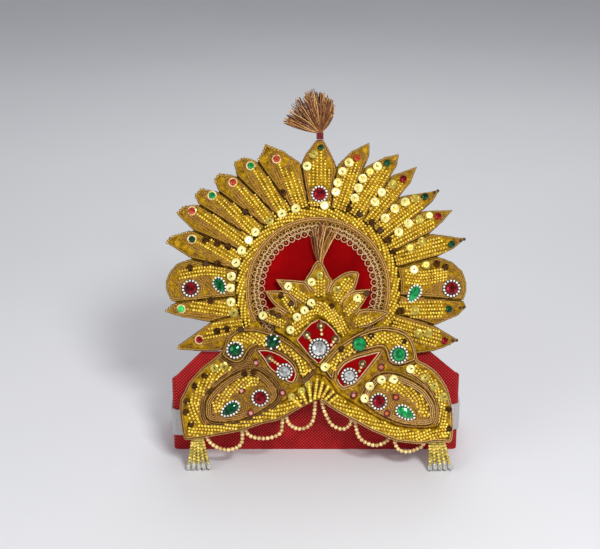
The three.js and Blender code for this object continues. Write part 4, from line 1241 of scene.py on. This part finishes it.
def sew_through(spots):
    """A few beads from the eye of each sequin on the right rays, running on towards the ring."""
    runs = []
    for u, v in spots:
        away = Vector((u, v)) - Vector(RING_MIDDLE)
        if u > 10 and away.length > RING_EDGE + 2:
            inward = away.normalized()
            run = [perch(halo_front, *(Vector((u, v)) - inward * step)) for step in THROUGH_STEPS]
            if None not in run:
                runs.append([place + OUT * lift * MM for place, lift in zip(run, THROUGH_LIFTS)])
    beads("sequin_beads", runs, PEARL)


dress_rays()
dress_spade()
dress_lobes()
dress_ring()
dress_lace()
halo_front = ground_on(*HALO_PADS)
sequins("halo_bright_sequins", BRIGHT_SPOTS, halo_front, BRIGHT_SEQUIN, lift=1.7)
stitches("halo_sequin_stitches", BRIGHT_SPOTS, halo_front, lift=1.7)
sequins("halo_dim_sequins", DIM_SPOTS, halo_front, DIM_SEQUIN, lift=1.7)
sequins("halo_dark_sequins", DARK_SPOTS, halo_front, DARK_SEQUIN, lift=1.2, radius=2.9)
sew_through(BRIGHT_SPOTS + DIM_SPOTS)

# The crest's leaves: where the bead rows start, where they point, how many there are, how far they reach,
# and the edge.
LEAVES = [
    ((1.4, 136), (1.2, 163.5), 4, 0.52,
     [(3.5, 135), (8, 138.5), (10, 144), (11, 148), (8.6, 152), (6, 157.4), (3.4, 162.4), (1.2, 163.5),
      (-1.6, 162.8), (-4.2, 159.2), (-6.4, 154.6), (-9.2, 150.6), (-10.8, 147.4), (-7.6, 142.5),
      (-4.5, 138.5), (-1.5, 135)]),
    ((-8.6, 132.6), (-33, 149), 3, 0.55,
     [(-4, 134), (-4.5, 139), (-6.8, 143.5), (-10.6, 147.5), (-20, 148.4), (-27, 148.8), (-33, 149),
      (-32, 146.8), (-29.5, 143), (-25.5, 139), (-20, 134.5), (-13, 129.5)]),
    ((-19.5, 123), (-31, 141), 2, 0.75,
     [(-16, 128), (-17, 133), (-22.5, 138.6), (-28.5, 140.2), (-36, 140.3), (-41.6, 139.9), (-39, 134.8),
      (-35.4, 130), (-31, 126), (-25, 122), (-20, 121.5)]),
    ((-26.5, 113.6), (-46, 122.4), 3, 0.68,
     [(-22.5, 114), (-23.5, 122), (-29, 126), (-34, 127), (-40, 125), (-46.2, 121.6), (-44, 117.6),
      (-38, 114.2), (-31, 111.8), (-26, 111.5)]),
    ((14, 132), (30, 156), 4, 0.72,
     [(12.5, 130), (20, 132.5), (26, 137.5), (29.5, 142.5), (31, 147.5), (32.3, 152.6), (31, 154.8),
      (26, 155.4), (20.5, 154), (16, 151.4), (11.6, 148.2), (8.4, 143), (7, 137), (7.6, 133)]),
    ((22, 122.6), (40, 143), 3, 0.66,
     [(20.5, 121), (26, 121.5), (31, 124.5), (35.5, 130), (39, 136.5), (41, 141.4), (35, 141), (28.5, 140.4),
      (22.5, 137.5), (18, 132), (17.5, 126)]),
    ((28.6, 114.4), (55, 123), 3, 0.5,
     [(27, 112.5), (32, 110.8), (38, 111.4), (44, 114.2), (50, 118), (55.2, 121.8), (55.6, 123.3),
      (50.5, 125), (44, 126), (37, 126.2), (31.5, 125), (26.5, 119)]),
]
CREST_BARE = [(-36, 136), (-27, 146), (1, 158), (25, 152), (36, 138), (48, 121.5), (-42, 119), (-25, 130),
              (24, 120), (-12, 140), (12, 136), (-24, 116), (27, 115), (40, 122), (-33, 124), (-8, 148),
              (8, 146)]
ARCH_LINE = [(-21.5, 106.5), (-17, 112), (-11.5, 118.5), (-6, 123.5), (0.8, 126.5), (7, 123.8),
             (12.5, 119), (18, 112.5), (24, 107)]
CREST_BRIGHT = [(-23.1, 143.4), (-5, 146.7), (-5.4, 130.6), (-10.7, 124.8), (-16.5, 119.5), (-21.5, 109.6),
                (-42.9, 120.7), (30.5, 134.3)]
CREST_DIM = [(14.4, 140.5), (1, 152)]
CREST_STRINGS = [((2.2, 112.6), (2.8, 106.2)), ((-8.6, 105.4), (-5.6, 101.4)), ((13.4, 102.4), (10.4, 97.8))]
CREST_DARK = [(38, 138), (-29, 136), (-35.5, 122.5), (-31, 120.5), (-21, 130), (-6, 127.5), (10.5, 128)]
CREST_LEAST_W = 9.4
CREST_PITCH = 2.3
# How much less of a leaf each row reaches along, away from the middle row.
CREST_TAPER = 0.07
ARCH_BAND = (4.7, -4.5)
SEED_STEPS, SEED_LIFT = 4, 1.3


def smoky_strings(name, strings, ground):
    """Smoky sequins, each with a few seeds threaded from its middle."""
    spots = [start for start, _ in strings]
    sequins(f"{name}_sequins", spots, ground, CLEAR_SEQUIN, lift=0.7, radius=3.2, eye=PEARL)
    runs = []
    for start, end in strings:
        steps = [Vector(start).lerp(Vector(end), step / SEED_STEPS) for step in range(SEED_STEPS + 1)]
        runs.append([perch(ground, *step) + OUT * SEED_LIFT * MM for step in steps])
    beads(f"{name}_seeds", runs, SWAG_PEARL, radius=1.3, pitch=2.4)


def dress_crest():
    """The crest: bead rows and edge cords on the leaves and the arch, and corded edges round the diamond."""
    board, arch, velvet = (ground_on(node) for node in CREST_PADS)
    rows, edges, shades = [], [], []
    for root, tip, count, share, edge in LEAVES:
        root, tip = Vector(root), Vector(tip)
        along = (tip - root).normalized()
        across = left_of(along)
        for row in range(count):
            place = row - (count - 1) / 2
            reach = (tip - root).length * (share - CREST_TAPER * abs(place))
            start = root + across * place * CREST_PITCH
            rows += interlocked(laid(board, [start, start + along * reach], BEAD_LIFT, CREST_LEAST_W), row)
        for runs, depth, lift in ((edges, 0.7, 0.2), (shades, 1.5, SHADE_LIFT), (edges, 2.2, 0.2)):
            paths = inside(edge, depth, smooth=False)
            outer = parts_where(paths, lambda point: (Vector(point) - root).dot(along) > 2)
            runs += laid_all(board, outer, lift, CREST_LEAST_W)
    outer, inner = (beside(eased(ARCH_LINE), offset) for offset in ARCH_BAND)
    rows += laid_all(arch, slanting(outer, inner, (1, 0), turn=26, gap=7.5), BEAD_LIFT)
    edges += laid_all(arch, inside(outline_of("crest_arch"), 0.9, smooth=False, toward=(0, 1)), lift=0.2)
    welts = laid_all(velvet, inside(outline_of("crest_velvet"), 0.5, smooth=False), lift=0.35)
    beads("crest_beads", rows, PEARL)
    cords("crest_edges", edges, TAN_CORD)
    cords("crest_shades", shades, SHADE_CORD, radius=0.45, sides=4)
    cords("crest_welts", welts, LACE_CORD, radius=0.45)
    coil_ends("crest_coil_ends", strewn(board, CREST_BARE, amount=4, reach=3, least=CREST_LEAST_W))
    front = ground_on(*CREST_PADS)
    sequins("crest_bright_sequins", CREST_BRIGHT, front, BRIGHT_SEQUIN, lift=1.6, radius=3.2)
    stitches("crest_sequin_stitches", CREST_BRIGHT, front, lift=1.6)
    sequins("crest_dim_sequins", CREST_DIM, front, DIM_SEQUIN, lift=1.0, radius=3.0)
    sequins("crest_dark_sequins", CREST_DARK, front, DARK_SEQUIN, lift=1.0, radius=2.5)
    smoky_strings("crest_string", CREST_STRINGS, front)


# What each wing carries. A band is where the bead strings run along an edge, by its two depths inside it.
WINGS = {
    "left": {
        "out": (-1, 0.25),
        "foot": 38,
        "coils": (-1.6, -3.1, -4.6),
        "crescent_band": (6.6, 14.6),
        "crescent_line": [(-66, 80), (-70, 76), (-80, 68.5), (-87.5, 61), (-90, 52), (-89.5, 42), (-86, 36)],
        "paisley_toward": (-0.55, 0.85),
        "ruby": (-44.9, 57.1),
        "drop": ((-68, 48.4), 34),
        "bright": [],
        "dim": [(-72.9, 81.4), (-80.4, 80.2)],
        "bare": [(-47, 86), (-54, 83), (-60, 82), (-24, 63), (-31, 64), (-37, 66), (-58, 58), (-54, 50),
                 (-62, 60), (-76, 58), (-80, 47), (-48, 48), (-96, 62), (-100, 50)],
        "string": ((-37.4, 87.4), (-31.4, 83.2)),
        "dark": [(-88, 74), (-95.4, 66), (-101.5, 54.5), (-102.5, 46), (-98.5, 36.5), (-57, 76), (-50, 77),
                 (-83.6, 62.5), (-60, 110)],
        "seeds": {"pink": [(-48.3, 83.9), (-59.3, 62.5), (-27.6, 60.6), (-52.1, 45.3)], "orange": []},
        "swirl": [(-46, 66), (-52, 69), (-58, 66), (-70, 60), (-77, 52), (-79, 44)],
    },
    "right": {
        "out": (1, 0.25),
        "foot": 34,
        "coils": (-1.6,),
        "crescent_band": (5.2, 11.2),
        "crescent_line": [(67, 78), (74, 75), (82, 69), (89, 61), (92.6, 52), (93, 42), (91, 36)],
        "paisley_toward": (0.55, 0.85),
        "ruby": (46.9, 54.4),
        "drop": ((67.5, 45.6), -30),
        "bright": [(5.2, 81), (71.6, 79.4), (39.9, 66.2), (49, 71.1), (58.4, 71.5), (36, 56.7)],
        "dim": [(82.5, 72.6), (89.6, 66.3), (97.4, 57.7)],
        "bare": [(50, 86), (55, 80), (44, 78), (24, 61), (30, 62), (36, 66), (58, 56), (54, 48), (60, 52),
                 (76, 58), (82, 46), (77, 79), (86, 72), (93, 65), (98, 57), (100, 50), (101, 42)],
        "string": ((34.4, 83.2), (32, 77.8)),
        "dark": [(101, 33), (101, 48), (41, 105), (66, 101), (18, 95)],
        "seeds": {"pink": [(27.6, 58.7)], "orange": [(48.9, 80.6), (60, 57.5), (53, 45.1)]},
        "swirl": [(50, 64), (58, 64), (66, 60), (74, 54), (80, 47), (83, 41)],
    },
}
RIM_LEAST_W = 15.0
# How far the rim's strings and the edge cords stay from the crown's middle line.
RIM_CLEAR, EDGE_CLEAR = 12.5, 2.6
RIM_BAND, LOBE_BAND, PAISLEY_BAND = (3.0, 10.2), (3.2, 10.6), (5.0, 12.4)
# The half length and half width of a drop stone.
DROP_HALF = (6.6, 4.4)


def dress_wing(side):
    """One wing: its rim, upper lobe, velvet and lower paisley, each with its rows, coils and edge cords."""
    wing = WINGS[side]
    nodes = [f"wing_{side}_{part}" for part in WING_PARTS]
    board, lobe, paisley, velvet = (ground_on(node) for node in nodes)
    outline, lobe_edge, paisley_edge, velvet_edge = (outline_of(node) for node in nodes)
    rows, coils, edges, shades = [], [], [], []
    away = wing["out"][0]
    rim = band(outline, RIM_BAND, (0, -1), least=0.55)
    strings = beyond_middle(slanting(*rim, (away, 0), turn=27, gap=10), RIM_CLEAR)
    crescent = band(
        outline, wing["crescent_band"], wing["out"], least=0.6, holds=lambda point: point[1] > wing["foot"]
    )
    strings += slanting(*crescent, (0, -1), turn=25, gap=9)
    rows += laid_all(board, strings, BEAD_LIFT, RIM_LEAST_W)
    for depth in (0.8, 2.2):
        edges += laid_all(board, beyond_middle(inside(outline, depth), EDGE_CLEAR), EDGE_LIFT)
    shades += laid_all(board, beyond_middle(inside(outline, 1.5), EDGE_CLEAR), SHADE_LIFT)
    line = eased(wing["crescent_line"])
    for shift in (-1.5, 0, 1.5):
        edges += laid(board, beside(line, shift), lift=0.3)
        shades += laid(board, beside(line, shift + 0.75), SHADE_LIFT)
    top = band(lobe_edge, LOBE_BAND, (0, 1), least=0.35)
    rows += laid_all(lobe, slanting(*top, (-away, 0), turn=14, gap=5.4), BEAD_LIFT)
    edges += laid_all(lobe, inside(lobe_edge, 0.8), EDGE_LIFT)
    shades += laid_all(lobe, inside(lobe_edge, 1.6), SHADE_LIFT)
    low = band(paisley_edge, PAISLEY_BAND, wing["paisley_toward"], least=0.35)
    rows += laid_all(paisley, slanting(*low, (away, -1), turn=22, gap=8), BEAD_LIFT)
    for depth in (0.8, 2.2, 3.6):
        edges += laid_all(paisley, inside(paisley_edge, depth), EDGE_LIFT)
        shades += laid_all(paisley, inside(paisley_edge, depth + 0.7), SHADE_LIFT)
    welts = laid_all(velvet, inside(velvet_edge, 1.0), lift=0.4)
    edges += laid_all(board, inside(velvet_edge, -0.9), lift=0.5)
    for radius in (8.2, 9.6):
        coils += laid(paisley, arc(wing["ruby"], radius, 0, 360, 40), COIL_LIFT)
    for shift in (-2.9, -1.45, 0):
        coils += laid(paisley, beside(eased(wing["swirl"]), shift), COIL_LIFT)
    middle, turn = wing["drop"]
    for grow in (3.6, 5.0, 6.4):
        coils += laid(paisley, oval(middle, [half + grow for half in DROP_HALF], turn), COIL_LIFT)
    for loop, toward in ((paisley_edge, None), (lobe_edge, (0, -1))):
        for depth in wing["coils"]:
            coils += laid_all(board, inside(loop, depth, toward=toward), COIL_LIFT)
            shades += laid_all(board, inside(loop, depth + 0.75, toward=toward), SHADE_LIFT)
    name = f"wing_{side}"
    # The left wing takes the darker coil and edge cord: painted shade on that side of the crown.
    coil, cord = (DARK_COIL, COPPER_COIL) if side == "left" else (COPPER_COIL, TAN_CORD)
    beads(f"{name}_beads", rows, PEARL, radius=1.1, pitch=2.3)
    cords(f"{name}_coils", coils, coil)
    cords(f"{name}_edges", edges, cord, radius=0.55)
    cords(f"{name}_shades", shades, SHADE_CORD, radius=0.5, sides=4)
    cords(f"{name}_welts", welts, LACE_CORD, radius=0.45)
    front = ground_on(*nodes)
    coil_ends(f"{name}_coil_ends", strewn(front, wing["bare"], amount=5, reach=4))
    for shine, finish in (("bright", BRIGHT_SEQUIN), ("dim", DIM_SEQUIN)):
        if wing[shine]:
            sequins(f"{name}_{shine}_sequins", wing[shine], front, finish, radius=3.4)
            stitches(f"{name}_{shine}_stitches", wing[shine], front, lift=1.5)
    sequins(f"{name}_dark_sequins", wing["dark"], front, DARK_SEQUIN, lift=1.0, radius=2.6)
    smoky_strings(f"{name}_string", [wing["string"]], front)
    for hue, finish in (("pink", PINK_BEAD), ("orange", ORANGE_BEAD)):
        spots = wing["seeds"][hue]
        if spots:
            sequins(f"{name}_{hue}_plates", spots, front, GARNET_PLATE, lift=0.6, radius=3.0)
            gems(f"{name}_{hue}_seeds", spots, front, finish, "pearl_beads", radius=1.5, lift=0.9)


# The fan's strips where the wings meet, from tip to foot.
FAN_STRIPS = [
    ((-21.0, 57.4), (-14.0, 51.2)), ((-13.0, 62.0), (-9.2, 53.2)), ((-7.1, 67.6), (-5.8, 55.0)),
    ((-0.8, 71.3), (-2.6, 56.8)), ((3.4, 68.6), (0.6, 58.2)), ((7.8, 65.6), (3.6, 58.2)),
    ((11.6, 61.6), (6.2, 56.4)), ((14.6, 58.4), (8.8, 53.6)),
]
FAN_SEQUINS = [(-20.4, 58.0), (-12.8, 62.6), (-7.2, 67.4)]
# The strip of cloth under the fan: v, half width and underside of each section, its rise and its middle.
SEAM = [
    (55.6, 0.5, 16), (58, 2.4, 16), (64, 3.4, 16), (70, 3.4, 16), (74.5, 2.6, 16),
    (76, 2.2, 13.3), (80, 1.4, 13.3),
]
SEAM_RISE = 0.7
SEAM_MIDDLE = 0.2
SEAM_TOP_SHARE = 0.7


def dress_fan():
    """The bead strips that spread like a fan over the seam where the two wings meet."""
    work = bmesh.new()
    bands = []
    for v, half, low in SEAM:
        high, top = low + SEAM_RISE, half * SEAM_TOP_SHARE
        section = ((-half, low), (half, low), (top, high), (-top, high))
        bands.append([work.verts.new(face(SEAM_MIDDLE + u, v, w)) for u, w in section])
    skin_rings(work, bands)
    bmesh.ops.recalc_face_normals(work, faces=work.faces)
    seam = sewn(mesh_piece("fan_seam", built("fan_seam", work, GOLD_TISSUE)), "gold_beadwork")
    ground = ground_of([pads["wing_left_board"], pads["wing_right_board"], seam])
    rows = laid_all(ground, FAN_STRIPS, 0.9, RIM_LEAST_W)
    # Dark cords in the gaps between the strips are painted shade.
    gap_shades = []
    for one, other in zip(FAN_STRIPS, FAN_STRIPS[1:]):
        between = [Vector(a).lerp(Vector(b), 0.5) for a, b in zip(one, other)]
        gap_shades += laid(ground, between, 0.3, RIM_LEAST_W)
    cords("fan_gap_shades", gap_shades, SHADE_CORD, radius=0.7, sides=5)
    beads("fan_beads", rows, PEARL, radius=1.4, pitch=2.0)
    sequins("fan_sequins", FAN_SEQUINS, ground, DIM_SEQUIN, lift=1.0, radius=3.0)


dress_crest()
for side in WINGS:
    dress_wing(side)
dress_fan()

# The main stones: place, half length and half width, turn of the long half, border, finish and slot.
STONES = [
    ("top_ruby", (1.2, 215.3), (4.9, 4.9), 0, 1.4, RUBY, "ruby_stone"),
    ("crest_crystal", (0.8, 95.1), (5.6, 5.6), 0, 2.7, CRYSTAL, "crystal_stone"),
    ("lobe_left_ruby", (-99.3, 141.7), (4.6, 4.6), 0, 2.4, RUBY, "ruby_stone"),
    ("lobe_left_drop", (-76.5, 144), (5.8, 4.2), -60, 1.2, EMERALD, "emerald_stone"),
    ("lobe_right_ruby", (104.2, 141.7), (4.6, 4.6), 0, 2.4, RUBY, "ruby_stone"),
    ("lobe_right_drop", (75, 137.5), (6.2, 4.2), -120, 1.2, LIT_EMERALD, "emerald_stone"),
    ("wing_left_outer_emerald", (-64.3, 94.2), (4.6, 4.6), 0, 2.4, SHADED_EMERALD, "emerald_stone"),
    ("wing_left_inner_emerald", (-35.2, 100.6), (4.6, 4.6), 0, 1.5, SHADED_EMERALD, "emerald_stone"),
    ("wing_left_crystal", (-25.9, 77.3), (4.2, 4.2), 0, 2.4, CRYSTAL, "crystal_stone"),
    ("wing_left_ruby", (-44.9, 57.1), (4.6, 4.6), 0, 2.2, RUBY, "ruby_stone"),
    ("wing_left_drop", (-68, 48.4), (6.6, 4.4), 214, 1.9, SHADED_EMERALD, "emerald_stone"),
    ("wing_right_outer_emerald", (62.5, 90.6), (4.9, 4.9), 0, 2.4, LIT_EMERALD, "emerald_stone"),
    ("wing_right_inner_emerald", (32, 98.6), (5, 5), 0, 1.2, LIT_EMERALD, "emerald_stone"),
    ("wing_right_crystal", (24.2, 73.9), (4.2, 4.2), 0, 2.4, CRYSTAL, "crystal_stone"),
    ("wing_right_ruby", (46.9, 54.4), (4.6, 4.6), 0, 2.2, RUBY, "ruby_stone"),
    ("wing_right_drop", (67.5, 45.6), (6.6, 4.4), -30, 1.9, LIT_EMERALD, "emerald_stone"),
]
STONE_SIDES = 16
# The profile of a stone and of its seat: share of the outline, rise and turn by half a facet.
STONE_RINGS = [(1.0, 0.9, 0), (1.0, 1.7, 0), (0.8, 2.5, 0.5), (0.56, 3.1, 0)]
SEAT_RINGS = [(1.0, 0, 0), (1.0, 0.9, 0), (0.9, 1.15, 0)]
# These stones have wider, lower facets that throw the key light straight back.
GLINTS = ("wing_left_outer_emerald", "wing_left_inner_emerald", "wing_right_drop")
GLINT_RINGS = STONE_RINGS[:-1] + [(0.36, 2.96, 0)]
# How much narrower a drop is at its tip, by half.
DROP_TAPER = 0.175
# The claw beads: their height, the share of the border that they stand out by, the least, and their pitch.
CLAW_RISE, CLAW_SHARE, CLAW_LEAST = 1.5, 0.6, 0.9
CLAW_PITCH = {"full": 2.55, "few": 5.6}
NO_CLAWS = "wing_right_inner_emerald"


def stone_outline(at, half, turn, grow, share=1.0, half_step=0.0):
    """A round or drop shaped outline, narrower towards its tip."""
    points = []
    for side in range(STONE_SIDES):
        around = 2 * math.pi * (side + half_step) / STONE_SIDES
        narrow = 1 - DROP_TAPER * (1 + math.cos(around)) if half[0] > half[1] else 1
        x = (half[0] + grow) * math.cos(around) * share
        y = (half[1] + grow) * math.sin(around) * narrow * share
        points.append(turned(at, x, y, math.radians(turn)))
    return points


def set_stones():
    """Each stone in its dark seat, ringed with white claw beads."""
    claws = {kind: [] for kind in CLAW_PITCH}
    for name, at, half, turn, border, finish, slot in STONES:
        node = "stone_" + name
        seat = min(height(vertex.co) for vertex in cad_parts[node].data.vertices)
        work = bmesh.new()
        for grow, rings in ((border, SEAT_RINGS), (0, GLINT_RINGS if name in GLINTS else STONE_RINGS)):
            before = len(work.faces)
            skin_rings(work, [
                [
                    work.verts.new(face(u, v, seat + rise))
                    for u, v in stone_outline(at, half, turn, grow, share, step)
                ]
                for share, rise, step in rings
            ])
            work.faces.ensure_lookup_table()
            for polygon in work.faces[before:]:
                polygon.material_index = 0 if grow else 1
        sewn(mesh_piece(node + "_set", built(node, work, DARK_SEAT, finish)), slot, node)
        if name != NO_CLAWS:
            out = max(border * CLAW_SHARE, CLAW_LEAST)
            ring = eased(stone_outline(at, half, turn, out), closed=True, pieces=3)
            kind = "few" if "inner" in name else "full"
            claws[kind].append([face(u, v, seat + CLAW_RISE) for u, v in ring])
    for kind, pitch in CLAW_PITCH.items():
        beads(
            f"{kind}_claws", claws[kind], CLAW_BEAD, slot="crystal_stone",
            radius=CLAW_RADIUS, pitch=pitch, closed=True,
        )


HANG_W = 9.1
SWAGS = {
    "left": [
        [(-87, 26.6), (-84.4, 21.6), (-79, 17.4), (-72, 15.2), (-65, 16.3), (-60.2, 20), (-59, 26),
         (-59.4, 33.4)],
        [(-56.8, 34), (-55, 28.2), (-50, 25.2), (-42, 24.2), (-34, 25.6), (-29, 29), (-28, 35), (-27.6, 43)],
        [(-25, 44), (-23.4, 37), (-19, 33), (-14, 31.5), (-8.5, 32.8), (-4.4, 37), (-2.8, 44), (-2.2, 56)],
    ],
    "right": [
        [(2.8, 55), (4.6, 47), (7.6, 40), (11, 34.8), (17, 31.8), (22, 32.4), (25.4, 36.4), (26.4, 41.6)],
        [(28.8, 40.4), (29.8, 33), (32, 25.8), (37, 21.2), (44, 18.8), (50, 20.1), (55, 24), (56.4, 28.6)],
        [(58.8, 27.4), (60.4, 20.6), (63, 15.8), (68, 14), (73, 14.4), (78, 16.6), (81.4, 18.8), (83, 23.2)],
    ],
}


def hang_swags():
    """The bead strings, hanging straight down from the wings' lower edges."""
    for side, loops in SWAGS.items():
        runs = []
        for loop in loops:
            start, end = loop[0], loop[-1]
            run = []
            for u, v in eased(loop):
                share = min(max((u - start[0]) / (end[0] - start[0]), 0), 1)
                hung = start[1] + (end[1] - start[1]) * share - v
                run.append(face(u, v, HANG_W - hung * math.tan(LEAN)))
            runs.append(run)
        beads(f"swag_{side}_beads", runs, SWAG_PEARL, [f"swag_{side}"], radius=SWAG_RADIUS, pitch=3.2)


STRANDS = 9
STRAND_DEPTH = 1.7
DROP_SIDES = 8
# The drops' length, its least share and what it varies by, then their least height and what it varies by.
DROP_LENGTH, LENGTH_LEAST, LENGTH_SPREAD = 7, 0.8, 0.3
DROP_CLEAR, DROP_UNEVEN = 0.3, 2.4
# Steps that shuffle the lengths and heights among the strands.
LENGTH_STEP, RISE_STEP = 7, 5
# Each end tassel: u of its two ends at the head and at the foot, and v of its head.
END_TASSELS = {
    "left": ((-97.4, -90.4), (-102, -85), 26.4),
    "right": ((87, 97.6), (88, 104.5), 23.8),
}
# A drop's profile: radius and share of its length.
DROP_RINGS = [(0.9, 0), (1.6, 0.2), (1.9, 0.45), (1.9, 0.7), (1.5, 0.92), (0.9, 1)]


def hang_tassels():
    """The end tassels: strands of small beads from a bound bar, each with a clear drop at its foot."""
    for side, (head, tips, v) in END_TASSELS.items():
        name = f"end_tassel_{side}"
        strands = []
        work = bmesh.new()
        for strand in range(STRANDS):
            share = strand / (STRANDS - 1)
            top = face(head[0] + (head[1] - head[0]) * share, v, HANG_W)
            depth = top.y + STRAND_DEPTH * (strand % 2 * 2 - 1) * MM
            rise = DROP_CLEAR + DROP_UNEVEN * (strand * RISE_STEP % STRANDS) / STRANDS
            foot = Vector((face(tips[0] + (tips[1] - tips[0]) * share, v, 0).x, depth, rise * MM))
            length = DROP_LENGTH * (LENGTH_LEAST + LENGTH_SPREAD * (strand * LENGTH_STEP % STRANDS) / STRANDS)
            knot = top.lerp(foot, 1 - length * MM / top.z)
            strands.append([top, knot])
            skin_rings(work, [
                [
                    work.verts.new(knot.lerp(foot, part) + Vector((x, y, 0)) * MM)
                    for x, y in arc((0, 0), radius, 0, -360, DROP_SIDES)[:-1]
                ]
                for radius, part in DROP_RINGS
            ])
        bmesh.ops.recalc_face_normals(work, faces=work.faces)
        mesh = built(f"{name}_drops", work, CLEAR_DROP)
        mesh.shade_smooth()
        sewn(mesh_piece(f"{name}_drops", mesh), "crystal_stone")
        beads(f"{name}_strands", strands, STRAND_BEAD, [name], radius=STRAND_RADIUS, pitch=2.5)
        bar = [face(head[0] - 1, v, HANG_W), face(head[1] + 1, v, HANG_W)]
        cords(f"{name}_bar", [bar], GOLD_EDGE, radius=1.1)


# The threads of the brushes: the solid that they stand for, their finish and radius, their root, how far out
# it sits, how many there are, how much they bend outwards towards their ends, and the line of their tips.
BRUSHES = {
    "top_tassel_threads": (
        ["top_tassel"], BRUSH_THREAD, 0.3, (1.6, 263.0), 5.0, 560, 1.0,
        [(-26, 271), (-25, 276), (-20, 285), (-12, 293), (-5, 296), (3, 294), (9, 291), (12.5, 285),
         (12, 279)],
    ),
    "crest_tassel_threads": (
        ["crest_tassel"], BRUSH_THREAD, 0.42, (1.0, 161.5), 8.4, 64, 1.5,
        [(-5.5, 186), (-3, 190), (0, 192), (4, 192), (8, 191)],
    ),
    "crest_tassel_pale_threads": (
        [], PALE_THREAD, 0.36, (2.2, 161.5), 8.8, 34, 1.7, [(1, 192), (6, 191.6), (11.5, 190), (16.5, 188.5)],
    ),
}
BINDING = {"u": 1.6, "w": 5.0, "low": 258.5, "high": 263.2, "radius": 2.1, "turns": 7}
BINDING_STEPS = 14
THREAD_STEPS = 5
# How far a thread's root and middle may stray, the share of its way that it goes, and the scatter of its tip.
ROOT_SPREAD, THREAD_SWELL, THREAD_REACH, TIP_SCATTER = 1.3, 1.6, (0.76, 1.02), 0.7
# How deep a brush is at its root, how much deeper it grows, and the part of half a turn that it grows by.
BRUSH_DEPTH, BRUSH_GROWTH, BRUSH_TURN = 1.0, 3.2, 0.62
BINDING_LIFT = 0.25


def tie_brushes():
    """Loose thread brushes that spread from a bound root."""
    for name, (nodes, finish, radius, root, w, count, flare, tips) in BRUSHES.items():
        outline = eased(tips)
        runs = []
        for _ in range(count):
            tip = Vector(outline[chance.randrange(len(outline))])
            start = Vector(root) + Vector((chance.uniform(-ROOT_SPREAD, ROOT_SPREAD), 0))
            tip = start.lerp(tip, chance.uniform(*THREAD_REACH))
            tip = tip + Vector((chance.gauss(0, TIP_SCATTER), chance.gauss(0, TIP_SCATTER)))
            depth = chance.uniform(-1, 1)
            swell = chance.uniform(-THREAD_SWELL, THREAD_SWELL)
            across = left_of(tip - start).normalized()
            run = []
            for step in range(THREAD_STEPS + 1):
                t = step / THREAD_STEPS
                u, v = start.lerp(tip, t) + across * swell * math.sin(math.pi * t)
                u += (tip.x - start.x) * (t ** flare - t)
                deep = BRUSH_DEPTH + BRUSH_GROWTH * math.sin(math.pi * BRUSH_TURN * t)
                run.append(face(u, v, w + depth * deep))
            runs.append(run)
        cords(name, runs, finish, nodes, radius=radius, sides=4)
    core = merged_copy("top_tassel_wrap")
    core.materials.append(RED_BINDING)
    sewn(mesh_piece("top_tassel_core", core), "red_binding", "top_tassel_wrap")
    helix = []
    steps = BINDING["turns"] * BINDING_STEPS
    reach = BINDING["radius"] + BINDING_LIFT
    for step in range(steps + 1):
        angle = 2 * math.pi * step / BINDING_STEPS
        v = BINDING["low"] + (BINDING["high"] - BINDING["low"]) * step / steps
        helix.append(face(BINDING["u"] + reach * math.cos(angle), v, BINDING["w"] + reach * math.sin(angle)))
    cords("top_tassel_binding", [helix], RED_BINDING, slot="red_binding")


set_stones()
hang_swags()
hang_tassels()
tie_brushes()

# The camera looks straight at the crown's face, with its aim in the middle of the picture.
IMAGE_WIDTH = 600
MM_PER_PIXEL = 0.78
SENSOR_WIDTH = 36
CAMERA_DISTANCE = 1.15
CAMERA_AIM = (-14.04, 152.5)
CAMERA_AIM_W = 8
# Each lamp: its place from the middle of the crown, its size and its power.
LAMPS = {
    "key": ((0.4, -1.0, 0.9), 0.3, 14),
    "fill": ((-0.9, -0.9, 0.4), 0.7, 4),
    "rim": ((0.1, 0.9, 0.9), 0.8, 4),
}
LIT_MIDDLE = (0, 140, 10)
SKY_COLOUR, SKY_STRENGTH = (0.92, 0.94, 1.0, 1.0), 0.32
FLOOR_SIZE = 6


def studio():
    """A pale floor, soft light and the camera square to the crown's face."""
    work = bmesh.new()
    bmesh.ops.create_grid(work, x_segments=1, y_segments=1, size=FLOOR_SIZE)
    finish = plain_finish("pale floor", (0.82, 0.82, 0.84), (0.84, 0.84, 0.86), 300, {}, (0.55, 0.7), 0.01)
    floor = mesh_piece("floor", built("floor", work, finish))
    world = bpy.data.worlds.new("soft daylight")
    bpy.context.scene.world = world
    world.use_nodes = True
    sky = world.node_tree.nodes["Background"]
    sky.inputs["Color"].default_value = SKY_COLOUR
    sky.inputs["Strength"].default_value = SKY_STRENGTH
    for name, (place, size, power) in LAMPS.items():
        lamp = bpy.data.lights.new(name, "AREA")
        lamp.size = size
        lamp.energy = power
        light = bpy.data.objects.new(name, lamp)
        light.location = face(*LIT_MIDDLE) + Vector(place)
        light.rotation_euler = (-Vector(place)).to_track_quat("-Z", "Y").to_euler()
        bpy.context.scene.collection.objects.link(light)
    lens = bpy.data.cameras.new("camera")
    lens.sensor_width = SENSOR_WIDTH
    lens.lens = CAMERA_DISTANCE / (MM_PER_PIXEL * MM) * SENSOR_WIDTH / IMAGE_WIDTH
    camera = bpy.data.objects.new("camera", lens)
    camera.location = face(*CAMERA_AIM, CAMERA_AIM_W) + OUT * CAMERA_DISTANCE
    camera.rotation_euler = (-OUT).to_track_quat("-Z", "Y").to_euler()
    bpy.context.scene.collection.objects.link(camera)
    bpy.context.scene.camera = camera


studio()
bpy.context.scene.view_settings.view_transform = "Standard"
